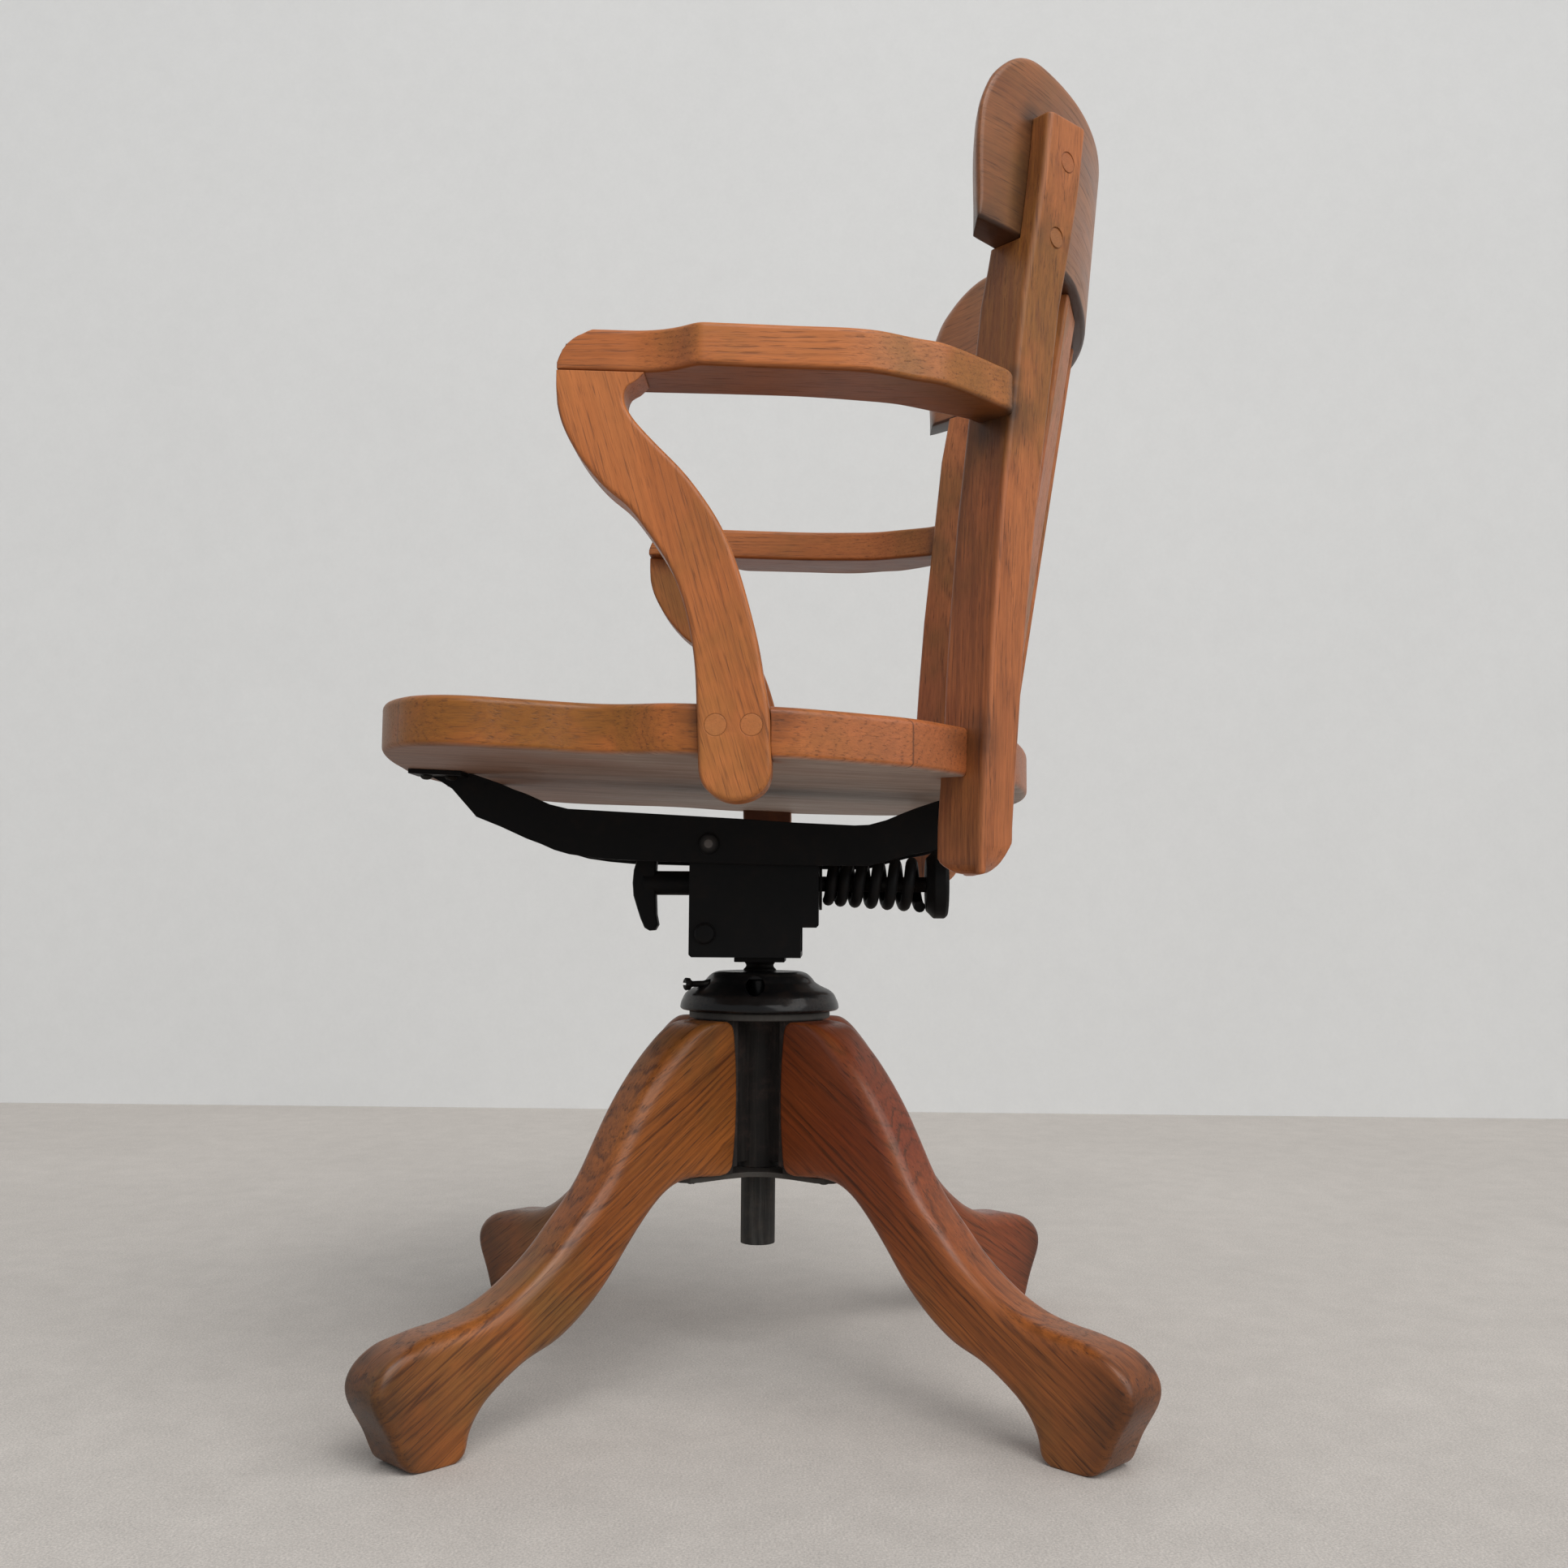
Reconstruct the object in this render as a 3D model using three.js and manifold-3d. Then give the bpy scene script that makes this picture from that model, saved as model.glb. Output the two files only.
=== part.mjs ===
import * as THREE from "three";
import { mergeVertices } from "three/addons/utils/BufferGeometryUtils.js";
import Module from "manifold-3d";

// Oak bankers swivel chair with a tilting seat. Millimetres, +Z up.
// Built round the swivel axis: the sitter faces -Y and the sitter's left is +X.
// At the end the whole group is moved so that its origin is the bottom centre of its box.

const wasm = await Module();
wasm.setup();

// ---------------------------------------------------------------- driving dimensions
const GAP = 0.3; // clearance between pieces that touch
const BASE_YAW = 2; // degrees the base is turned under the seat
const FLOOR_Z = 5; // height of the floor in the frame the outlines are drawn in

const LEG_THICKNESS = 41;
const LEG_ROUNDING = 9;
const LEG_ROOT = 46; // distance of the leg root from the axis
const HUB_TUBE_R = 17;
const HUB_BORE_R = 12.5;
const HUB_BOTTOM = 159.2;
const FLANGE_R = 55;
const FLANGE_Z = [272.8, 278.3];
const PLATE_Z = [155, 158.9];
const GUARD_Z = [100, 175];
const GUARD_R = [12.2, 13.3];

const SPINDLE_R = 11.5;
const SPINDLE_Z = [112, 324.3];
const PIVOT = [-37.3, 406]; // Y, Z of the tilt axis
const ROD_Z = 377; // height of the tension rod
const ROD_R = 6;
const BRACKET_X = 45; // outer face of the bracket cheeks
const BRACKET_WALL = 4;
const RAIL_X = [47, 53];

const SEAT_SLOPE = -0.0384; // rise per mm of Y
const SEAT_THICKNESS = 33;
const SEAT_TOP = 490.5; // at Y = -190
const SEAT_REF_Y = -190;
const SEAT_ROUNDING = 4;

const ARM_THICKNESS = 27.5;
const ARM_SLOPE = -0.032;
const ARM_BOTTOM = 692; // at Y = -30
const SUPPORT_X = [251, 281];

const POST_SIDE = 41.8; // width of the front face of a back post
const POST_X = 218; // outermost corner
const POST_Z = [380, 896];
const SHOULDER_Z = 811;
const CREST_R = [305, 330];
const CREST_LEAN = 0.0945;
const CREST_APEX = 254.7; // Y of the outer face at the back, at the shoulder height

const seatBottomAt = (y) => SEAT_TOP - SEAT_THICKNESS + SEAT_SLOPE * (y - SEAT_REF_Y);
const armBottomAt = (y) => ARM_BOTTOM + ARM_SLOPE * (y + 30);

// ---------------------------------------------------------------- outlines
// Leg in its own vertical plane: distance from the axis, height.
const LEG_OUTLINE = [
  [LEG_ROOT, 272.3], [62, 272.3], [77, 271], [91, 264], [105, 253.5], [120, 238], [138, 215], [152, 192.5],
  [166, 169], [177, 155], [193, 139], [209, 123], [226, 110], [244, 99], [263, 91.5], [284, 87.5],
  [304, 85.5], [319, 82], [332, 76.5], [341, 69.5], [346, 60], [345.5, 51.5], [340, 41], [331, 26],
  [326, 14], [319, FLOOR_Z + 2], [310, FLOOR_Z], [286, FLOOR_Z], [278, 9], [272, 21], [264, 33], [247, 46], [228, 56.5],
  [205, 64], [181, 79], [161, 97], [146, 115], [129, 134], [111, 150], [97, 157.4], [88, 159.3], [LEG_ROOT, 159.3],
];

// Half of the seat in plan: X, Y, from the middle of the front to the middle of the back.
const SEAT_HALF = [
  [0, -276], [36, -274], [69, -270], [104, -266], [137, -261], [168, -255], [193, -249], [212, -243], [225, -237],
  [240, -227], [252, -217], [260, -206], [265, -194], [267, -178], [265.5, -165], [263, -155], [257, -125],
  [253.5, -112], [252, -100], [252.6, -89], [256, -78], [261.5, -66], [268, -55], [272, -40], [273.5, -12],
  [274, 20], [272, 34], [268, 48], [263.5, 61], [258, 75], [246, 103], [240, 112], [221, 131], [200, 150],
  [189, 161.5], [178, 170], [165, 177.5], [150, 183], [134, 188], [117, 192], [84, 198.5], [52, 203], [26, 205.2], [0, 206],
];

// Side rail: Y, Z.
const RAIL_OUTLINE = [
  [-262, 460], [-240, 459.1], [-218, 458.2], [-197, 451], [-181, 444], [-164, 436.5], [-145, 432], [-108, 430],
  [-60, 427.5], [-12, 425], [26, 422.5], [73, 420.5], [84, 421], [97, 424.6], [109, 429.7], [121, 434.4],
  [133, 438.4], [150, 443.6], [170, 443.1], [190, 442.4], [190, 439.2], [178, 430.5], [163, 417], [150, 407.5], [132.5, 402], [117, 399],
  [96, 393.4], [84, 390], [46, 390], [0, 390.6], [-52, 391.7], [-107, 393.4], [-126, 395], [-144, 397.5],
  [-155, 400.6], [-165, 405], [-176, 409], [-196, 418], [-215, 425.5], [-218, 429], [-226, 438], [-234, 446.8],
  [-243, 452.4], [-249, 455.4], [-262, 456.6],
];

// Arm support seen from the side: Y, Z.
const SUPPORT_OUTLINE = [
  [-119.7, armBottomAt(-119.7) - GAP], [-119.6, 680.4], [-118.6, 668.7], [-115.4, 658.8], [-109, 646.3], [-102.9, 636.5],
  [-95.1, 626.7], [-86.3, 617.4], [-74.6, 608.6], [-65.4, 597.3], [-56.2, 584.5], [-45.4, 566.6],
  [-37.7, 546.1], [-33, 525.9], [-30.2, 505.7], [-29, 482.5], [-27.6, 450.6], [-26.8, 435.5],
  [-21.8, 428], [-14.8, 423.6], [-6.8, 421.6], [2.2, 422.7], [8.1, 424.7], [14.5, 429.2], [17.4, 435.7],
  [17, 458], [16.6, 479.1], [13.4, 494.6], [9.1, 520.5], [2.7, 546.5], [-5.3, 572.7], [-15.4, 596.3],
  [-28, 615.8], [-39.7, 630.7], [-52.3, 643.4], [-64, 655.6], [-75.2, 670], [-76.9, 678.6], [-74.9, 683.9],
  [-69.7, 687.1], [-64, armBottomAt(-64) - GAP],
];

// Arm board in plan: X, Y. The rear end runs into the post and is cut by it.
const ARM_OUTLINE = [
  [281, -119.4], [281, -85], [281.4, -65], [284, -54], [290.5, -41], [296.5, -33], [299, -28], [298.2, -10], [296.7, 30],
  [295, 72], [292.5, 84], [288, 94], [281, 108], [276, 122], [264, 137], [252, 149], [237, 163], [227, 172], [221.5, 174],
  [214, 174], [200, 168], [193, 158], [195.5, 151], [201, 147], [207, 138], [215, 123], [220, 114], [229, 96], [234, 71],
  [238, 40], [239, -12], [238, -72], [238, -119.4],
];

// Back post: height, Y of the outermost corner; height, depth of the outer face.
const POST_CORNER = [
  [370, 152.4], [380, 152.5], [412, 153], [449, 155.3], [480, 157.4], [520, 159.3], [560, 162], [620, 166.6],
  [700, 175.2], [770, 182.6], [800, 188], [850, 196.2], [900, 201.5], [930, 204.5],
];
const POST_DEPTH = [[370, 34.5], [480, 34.5], [560, 37], [620, 39], [700, 40], [770, 41], [930, 41]];
const POST_RISE = [[370, 28.4], [560, 28.5], [700, 27.9], [930, 27.6]]; // Y from the inner to the outer front corner

// Rounded lower end of a post seen from the side: Y, Z.
const POST_FOOT = [
  [90, 940], [90, 410], [119, 410], [122, 397], [125, 390], [133, 382.5], [144, POST_Z[0]], [156, POST_Z[0]], [163, 383],
  [171, 391], [177, 401], [190, 410], [260, 410], [260, 940],
];

// Crest rail seen from the side: Y, Z.
const CREST_SIDE = [
  [149, SHOULDER_Z], [148.8, 873], [150.3, 887], [154.6, 901], [160, 912.6], [166.5, 921], [174.4, 929],
  [182.4, 934.6], [190.6, 937.8], [198, 938.5], [220, 938], [245, 936.6], [290, 935.5], [290, 802.5],
  [242, 802.5], [234, 804.5], [226, 808], [219, SHOULDER_Z],
];

// ---------------------------------------------------------------- helpers
const interp = (table, x) => {
  if (x <= table[0][0]) return table[0][1];
  for (let i = 1; i < table.length; i++)
    if (x <= table[i][0]) {
      const [x0, y0] = table[i - 1], [x1, y1] = table[i];
      return y0 + ((y1 - y0) * (x - x0)) / (x1 - x0);
    }
  return table[table.length - 1][1];
};

// Closed geometry to solid, turned the right way round.
function solid(geometry) {
  const g = geometry.clone();
  g.deleteAttribute("normal");
  g.deleteAttribute("uv");
  const m = mergeVertices(g, 1e-3);
  const index = m.index.array, tris = [];
  for (let i = 0; i < index.length; i += 3) {
    const [a, b, c] = [index[i], index[i + 1], index[i + 2]];
    if (a !== b && b !== c && c !== a) tris.push(a, b, c);
  }
  const make = (list) =>
    new wasm.Manifold(new wasm.Mesh({
      numProp: 3,
      vertProperties: new Float32Array(m.attributes.position.array),
      triVerts: new Uint32Array(list),
    }));
  let s = make(tris);
  if (s.volume() < 0) {
    for (let i = 0; i < tris.length; i += 3) [tris[i + 1], tris[i + 2]] = [tris[i + 2], tris[i + 1]];
    s = make(tris);
  }
  return s;
}

function geometryOf(s) {
  const m = s.getMesh(), n = m.numProp, v = new Float32Array(m.numVert * 3);
  for (let i = 0; i < m.numVert; i++) v.set(m.vertProperties.subarray(i * n, i * n + 3), i * 3);
  const g = new THREE.BufferGeometry();
  g.setAttribute("position", new THREE.BufferAttribute(v, 3));
  g.setIndex(new THREE.BufferAttribute(new Uint32Array(m.triVerts), 1));
  const flat = g.toNonIndexed();
  flat.computeVertexNormals();
  return flat;
}

const V = (x, y, z) => new THREE.Vector3(x, y, z);

function extrude(points, depth, bevel = 0, segments = 2, steps = 1) {
  const shape = new THREE.Shape(points.map(([x, y]) => new THREE.Vector2(x, y)));
  const g = new THREE.ExtrudeGeometry(shape, {
    depth: depth - 2 * bevel, steps, bevelEnabled: bevel > 0,
    bevelThickness: bevel, bevelSize: bevel, bevelOffset: -bevel, bevelSegments: segments,
  });
  return g.translate(0, 0, bevel);
}

// Outline in Y, Z pushed along X.
function prismX(points, x0, x1, bevel, segments) {
  const g = extrude(points, x1 - x0, bevel, segments);
  g.applyMatrix4(new THREE.Matrix4().makeBasis(V(0, 1, 0), V(0, 0, 1), V(1, 0, 0)));
  return g.translate(x0, 0, 0);
}

// Outline in X, Y pushed along Z.
const prismZ = (points, z0, z1, bevel, segments) => extrude(points, z1 - z0, bevel, segments).translate(0, 0, z0);

// Profile of radius, height turned about the Z axis.
const latheZ = (profile, segments = 32) =>
  new THREE.LatheGeometry(profile.map(([r, z]) => new THREE.Vector2(r, z)), segments).rotateX(Math.PI / 2);

// Profile of radius, Y turned about the Y axis at height z.
const latheY = (profile, z, segments = 24) =>
  new THREE.LatheGeometry(profile.map(([r, y]) => new THREE.Vector2(r, y)), segments).translate(0, 0, z);

// Profile of radius, X turned about the X axis through y, z.
const latheX = (profile, y, z, segments = 16) =>
  new THREE.LatheGeometry(profile.map(([r, x]) => new THREE.Vector2(r, x)), segments)
    .rotateZ(-Math.PI / 2).translate(0, y, z);

// Round bar between two points.
function rod(radius, a, b, segments = 20) {
  const d = b.clone().sub(a);
  const g = new THREE.CylinderGeometry(radius, radius, d.length(), segments);
  g.applyQuaternion(new THREE.Quaternion().setFromUnitVectors(V(0, 1, 0), d.clone().normalize()));
  const c = a.clone().add(b).multiplyScalar(0.5);
  return g.translate(c.x, c.y, c.z);
}

function block(x0, x1, y0, y1, z0, z1) {
  return new THREE.BoxGeometry(x1 - x0, y1 - y0, z1 - z0).translate((x0 + x1) / 2, (y0 + y1) / 2, (z0 + z1) / 2);
}

// z += k (y - y0), and y += k (z - z0)
const shearZ = (g, k, y0) => g.applyMatrix4(new THREE.Matrix4().set(1, 0, 0, 0, 0, 1, 0, 0, 0, k, 1, -k * y0, 0, 0, 0, 1));
const shearY = (g, k, z0) => g.applyMatrix4(new THREE.Matrix4().set(1, 0, 0, 0, 0, 1, k, -k * z0, 0, 0, 1, 0, 0, 0, 0, 1));
const mirrorX = (g) => g.clone().applyMatrix4(new THREE.Matrix4().makeScale(-1, 1, 1));

// Moves an outline outwards by d.
function grown(points, d) {
  let area = 0;
  points.forEach(([x, y], i) => {
    const [u, v] = points[(i + 1) % points.length];
    area += x * v - u * y;
  });
  const turn = area > 0 ? 1 : -1;
  return points.map(([x, y], i) => {
    const [px, py] = points[(i + points.length - 1) % points.length], [nx, ny] = points[(i + 1) % points.length];
    const a = V(x - px, y - py, 0).normalize(), b = V(nx - x, ny - y, 0).normalize();
    const n = V(a.y + b.y, -a.x - b.x, 0).multiplyScalar(turn);
    const k = d / Math.max(0.3, n.length() / 2) / n.length();
    return [x + n.x * k, y + n.y * k];
  });
}

const deg = (a) => (a * Math.PI) / 180;

// ---------------------------------------------------------------- materials
const OAK = { color: 0xb5673a, roughness: 0.42, metalness: 0 };
const OAK_DARK = { color: 0x8a4a20, roughness: 0.38, metalness: 0 };
const BLACK = { color: 0x0d0d0e, roughness: 0.55, metalness: 0.3 };
const HUB = { color: 0x1a1d1b, roughness: 0.5, metalness: 0.4 };
const ENAMEL = { color: 0x120d0b, roughness: 0.25, metalness: 0.4 };
const STEEL = { color: 0x4a4642, roughness: 0.45, metalness: 0.9 };

const chair = new THREE.Group();
chair.name = "bankers_swivel_chair";

function add(name, shape, look) {
  const s = shape instanceof THREE.BufferGeometry ? solid(shape) : shape;
  const mesh = new THREE.Mesh(geometryOf(s), new THREE.MeshStandardMaterial(look));
  mesh.name = name;
  chair.add(mesh);
  return s;
}

// ---------------------------------------------------------------- base
const LEGS = [
  ["leg_front_left", -45], ["leg_rear_left", 45], ["leg_rear_right", 135], ["leg_front_right", -135],
];
const SCREW_AT = 70; // distance of the plate screws from the axis

// A shape drawn for a leg that points along +X, turned to its place.
const turned = (g, angle) => g.clone().rotateZ(deg(angle + BASE_YAW));

const legAlongX = extrude(LEG_OUTLINE, LEG_THICKNESS, LEG_ROUNDING, 2)
  .applyMatrix4(new THREE.Matrix4().makeBasis(V(1, 0, 0), V(0, 0, 1), V(0, -1, 0)))
  .translate(0, LEG_THICKNESS / 2, 0);
LEGS.forEach(([name, angle], i) => {
  const hole = turned(rod(2.7, V(SCREW_AT, 0, 150), V(SCREW_AT, 0, 177), 12), angle);
  add(name, solid(turned(legAlongX, angle)).subtract(solid(hole)), OAK_DARK);
  const screw = latheZ([[0, 152.2], [3.2, 152.6], [4.8, 153.7], [5.2, PLATE_Z[0] - GAP], [2.4, PLATE_Z[0] - GAP], [2.4, 173], [0, 175.5]], 10)
    .translate(SCREW_AT, 0, 0);
  add("plate_screw_" + (i + 1), turned(screw, angle), STEEL);
});

// Four-pointed plate below the leg roots.
{
  const outline = [];
  for (let k = 0; k < 4; k++) {
    const a = deg(45 + 90 * k);
    const place = (r, t) => [r * Math.cos(a) - t * Math.sin(a), r * Math.sin(a) + t * Math.cos(a)];
    // concave side, then the rounded tip
    outline.push(place(30, -20), place(50, -15.5), place(74, -14), place(81, -11), place(85, -5));
    outline.push(place(85, 5), place(81, 11), place(74, 14), place(50, 15.5), place(30, 20));
  }
  let plate = solid(prismZ(outline, PLATE_Z[0], PLATE_Z[1]).rotateZ(deg(BASE_YAW)));
  plate = plate.subtract(solid(rod(13.6, V(0, 0, 150), V(0, 0, 165), 24)));
  for (const [, angle] of LEGS) plate = plate.subtract(solid(turned(rod(2.7, V(SCREW_AT, 0, 150), V(SCREW_AT, 0, 165), 12), angle)));
  add("spider_plate", plate, HUB);
}

// Hub: tube, flange, and a web with a pad for each leg.
{
  let hub = solid(latheZ([
    [13.6, HUB_BOTTOM], [HUB_TUBE_R, HUB_BOTTOM], [HUB_TUBE_R, 262], [20, 268], [26, FLANGE_Z[0]], [FLANGE_R - 0.6, FLANGE_Z[0]],
    [FLANGE_R, 273.6], [FLANGE_R, 277.5], [FLANGE_R - 0.8, FLANGE_Z[1]], [HUB_BORE_R, FLANGE_Z[1]],
    [HUB_BORE_R, GUARD_Z[1] + 2], [13.6, GUARD_Z[1] + 2], [13.6, HUB_BOTTOM],
  ], 32));
  for (const [, angle] of LEGS) {
    const web = block(14.5, 42, -4.5, 4.5, 164, 273);
    const pad = prismZ([[40, -18], [44.7, -18], [LEG_ROOT - GAP, -16.6], [LEG_ROOT - GAP, 16.6], [44.7, 18], [40, 18]], 164, 273);
    hub = hub.add(solid(turned(web, angle))).add(solid(turned(pad, angle)));
  }
  add("hub_column", hub, HUB);
}
add("guard_tube", latheZ([
  [GUARD_R[0], GUARD_Z[0]], [GUARD_R[1], GUARD_Z[0]], [GUARD_R[1], GUARD_Z[1]], [GUARD_R[0], GUARD_Z[1]], [GUARD_R[0], GUARD_Z[0]],
], 28), STEEL);

// ---------------------------------------------------------------- height collar
const SET_SCREW_DIR = V(25, -55.2, 0).normalize();
const SET_SCREW_Z = 299;
{
  let dome = solid(latheZ([
    [12.2, 308.5], [32.5, 308.5], [37, 307], [40.5, 304], [43.5, 300], [47.5, 297.5], [55, 294], [58.5, 291],
    [61.5, 284.5], [62.2, 280.3], [60.5, 278.9], [52.5, 278.9], [53, 286], [44, 292.5], [39, 295.5],
    [34, 303], [20, 303], [20, 281.2], [12.2, 281.2], [12.2, 308.5],
  ], 36));
  // side hole
  dome = dome.subtract(solid(rod(6.9, V(24, -2.2, 297.8), V(70, -2.2, 297.8), 20)));
  const at = (r) => SET_SCREW_DIR.clone().multiplyScalar(r).setZ(SET_SCREW_Z);
  dome = dome.subtract(solid(rod(3.8, at(26), at(70), 12)));
  add("dome_collar", dome, ENAMEL);
  let screw = solid(rod(3.4, at(31), at(57.5), 12)).add(solid(rod(5, at(57), at(62.6), 16)));
  const slot = block(-0.9, 0.9, -7, 7, -1.6, 3).applyQuaternion(new THREE.Quaternion().setFromUnitVectors(V(0, 0, 1), SET_SCREW_DIR));
  const tip = at(62.6);
  screw = screw.subtract(solid(slot.translate(tip.x, tip.y, tip.z)));
  add("set_screw", screw, STEEL);
}
add("thrust_washer", latheZ([[12.4, 278.7], [26, 278.7], [26, 280.8], [12.4, 280.8], [12.4, 278.7]], 28), STEEL);

// ---------------------------------------------------------------- spindle and bracket
add("spindle_screw", latheZ([
  [0, SPINDLE_Z[0]], [9.5, SPINDLE_Z[0]], [SPINDLE_R, SPINDLE_Z[0] + 2], [SPINDLE_R, SPINDLE_Z[1]], [15, SPINDLE_Z[1]], [15, 327], [12.5, 329], [0, 330],
], 28), STEEL);
add("neck_nut", latheZ([
  [SPINDLE_R + GAP, 308.9], [12.8, 308.9], [13.6, 309.6], [13.6, 315], [12.9, 315.7], [SPINDLE_R + GAP, 315.7], [SPINDLE_R + GAP, 308.9],
], 24), STEEL);
{
  const plate = solid(block(-24, 24, -19, 20, 316, 319.7));
  add("bracket_plate", plate.subtract(solid(rod(SPINDLE_R + GAP, V(0, 0, 300), V(0, 0, 330), 24))), BLACK);
}
const BOLT = [-40.2, 338];
{
  const w = BRACKET_WALL, b = BRACKET_X;
  const cheek = [
    [-52.5, 322], [-50.5, 320], [32.7, 320], [32.7, 343], [44.5, 343], [46, 344.5], [46, 402], [36, 408], [-20, 413],
    [-27, 418], [-37.3, 420.5], [-46, 417.5], [-52.5, 410],
  ];
  let box = solid(prismX(cheek, -b, b));
  box = box.subtract(solid(block(-b + w, b - w, -60, 46 - w, 320 + w, 430)));
  box = box.subtract(solid(block(-b + w, b - w, 40, 60, 400, 430)));
  box = box.subtract(solid(rod(ROD_R + 0.5, V(0, 30, ROD_Z), V(0, 60, ROD_Z), 20)));
  box = box.subtract(solid(rod(SPINDLE_R + GAP, V(0, 0, 310), V(0, 0, 330), 24)));
  box = box.subtract(solid(rod(6.4, V(-60, PIVOT[0], PIVOT[1]), V(60, PIVOT[0], PIVOT[1]), 24)));
  box = box.subtract(solid(rod(5.3, V(-60, BOLT[0], BOLT[1]), V(60, BOLT[0], BOLT[1]), 16)));
  add("tilt_bracket", box, BLACK);
}
add("cross_bolt", latheX([
  [0, -52.5], [4.2, -52.5], [5, -51.7], [5, 45.3], [8, 45.3], [8, 47.6], [6.6, 49.6], [0, 50.6],
], BOLT[0], BOLT[1], 16), BLACK);
{
  const hex = new THREE.CylinderGeometry(8.6, 8.6, 5.4, 6).rotateZ(Math.PI / 2).translate(-48, BOLT[0], BOLT[1]);
  add("cross_bolt_nut", solid(hex).subtract(solid(rod(5.3, V(-60, BOLT[0], BOLT[1]), V(-40, BOLT[0], BOLT[1]), 16))), BLACK);
}
add("spring_washer", latheY([[6.6, 46.3], [20.5, 46.3], [20.5, 48.6], [6.6, 48.6], [6.6, 46.3]], ROD_Z, 24), BLACK);

// Slightly conical compression spring behind the bracket.
const SPRING_Y = [48.9, 129.7];
const SPRING_WIRE = 3.5;
{
  class Coil extends THREE.Curve {
    getPoint(t, target = new THREE.Vector3()) {
      const turns = 7.6, a = 2 * Math.PI * turns * t;
      const r = 16 + 4 * t;
      const y = SPRING_Y[0] + SPRING_WIRE + t * (SPRING_Y[1] - SPRING_Y[0] - 2 * SPRING_WIRE);
      return target.set(r * Math.cos(a), y, ROD_Z + r * Math.sin(a));
    }
  }
  const wire = new THREE.Shape();
  for (let i = 0; i < 7; i++) {
    const a = (2 * Math.PI * i) / 7, x = (SPRING_WIRE - 0.05) * Math.cos(a), y = (SPRING_WIRE - 0.05) * Math.sin(a);
    if (i) wire.lineTo(x, y);
    else wire.moveTo(x, y);
  }
  add("tension_spring", new THREE.ExtrudeGeometry(wire, { steps: 106, extrudePath: new Coil(), curveSegments: 1 }), BLACK);
}
add("spring_end_plate", latheY([
  [ROD_R + GAP, 130], [24.5, 130], [26.5, 132], [26.5, 144.5], [24, 147], [14, 147], [14, 139], [ROD_R + GAP, 139], [ROD_R + GAP, 130],
], ROD_Z, 32), BLACK);
add("tension_rod", latheY([[0, -90], [5, -90], [ROD_R, -89], [ROD_R, 145.5], [5, 146.5], [0, 146.5]], ROD_Z, 20), STEEL);
add("rod_nut", solid(new THREE.CylinderGeometry(11, 11, 5.6, 6).translate(0, 142.4, ROD_Z))
  .subtract(solid(rod(ROD_R + GAP, V(0, 130, ROD_Z), V(0, 160, ROD_Z), 20))), STEEL);

// T-handle on the front of the rod, with its long barrel.
{
  const half = [
    [-100.6, 377], [-99.8, 367], [-97, 358], [-94, 349], [-90.7, 341.7], [-86.5, 339.4], [-82.4, 339.8], [-79.9, 344.1], [-81.5, 352.3], [-82.1, 366.3],
  ];
  const outline = [...half, ...half.slice(1).reverse().map(([y, z]) => [y, 2 * ROD_Z - z])];
  let handle = solid(prismX(outline, -8, 8, 2.5, 2));
  handle = handle.add(solid(latheY([[0, -92], [9.5, -92], [9.5, -45], [8.8, -43.7], [0, -43.7]], ROD_Z, 24)));
  handle = handle.subtract(solid(rod(ROD_R + GAP, V(0, -92, ROD_Z), V(0, -30, ROD_Z), 20)));
  add("tension_handle", handle, BLACK);
}

// ---------------------------------------------------------------- seat assembly
add("pivot_pin", latheX([
  [0, -58], [6.5, -57], [8.5, -53.6 - GAP], [6, -53.6 - GAP], [6, 53.6 + GAP], [8.5, 53.6 + GAP], [6.5, 57], [0, 58],
], PIVOT[0], PIVOT[1], 20), BLACK);
{
  // fork on the pivot: a boss round the pin and two fingers that straddle the rod
  const [py, pz] = PIVOT, profile = [];
  for (let i = 0; i <= 12; i++) {
    const a = deg(-57.4 + (294.8 * i) / 12);
    profile.push([py + 10.2 * Math.cos(a), pz + 10.2 * Math.sin(a)]);
  }
  for (let i = 0; i <= 6; i++) {
    const a = deg(180 + (180 * i) / 6);
    profile.push([py + 5.5 * Math.cos(a), pz - 31 + 5.5 * Math.sin(a)]);
  }
  let yoke = solid(prismX(profile, -13, 13));
  yoke = yoke.subtract(solid(block(-6.7, 6.7, py - 20, py + 20, pz - 50, ROD_Z)))
    .subtract(solid(rod(6.7, V(0, py - 20, ROD_Z), V(0, py + 20, ROD_Z), 20)))
    .subtract(solid(rod(6 + GAP, V(-20, py, pz), V(20, py, pz), 20)));
  add("tilt_yoke", yoke, STEEL);
}

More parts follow.
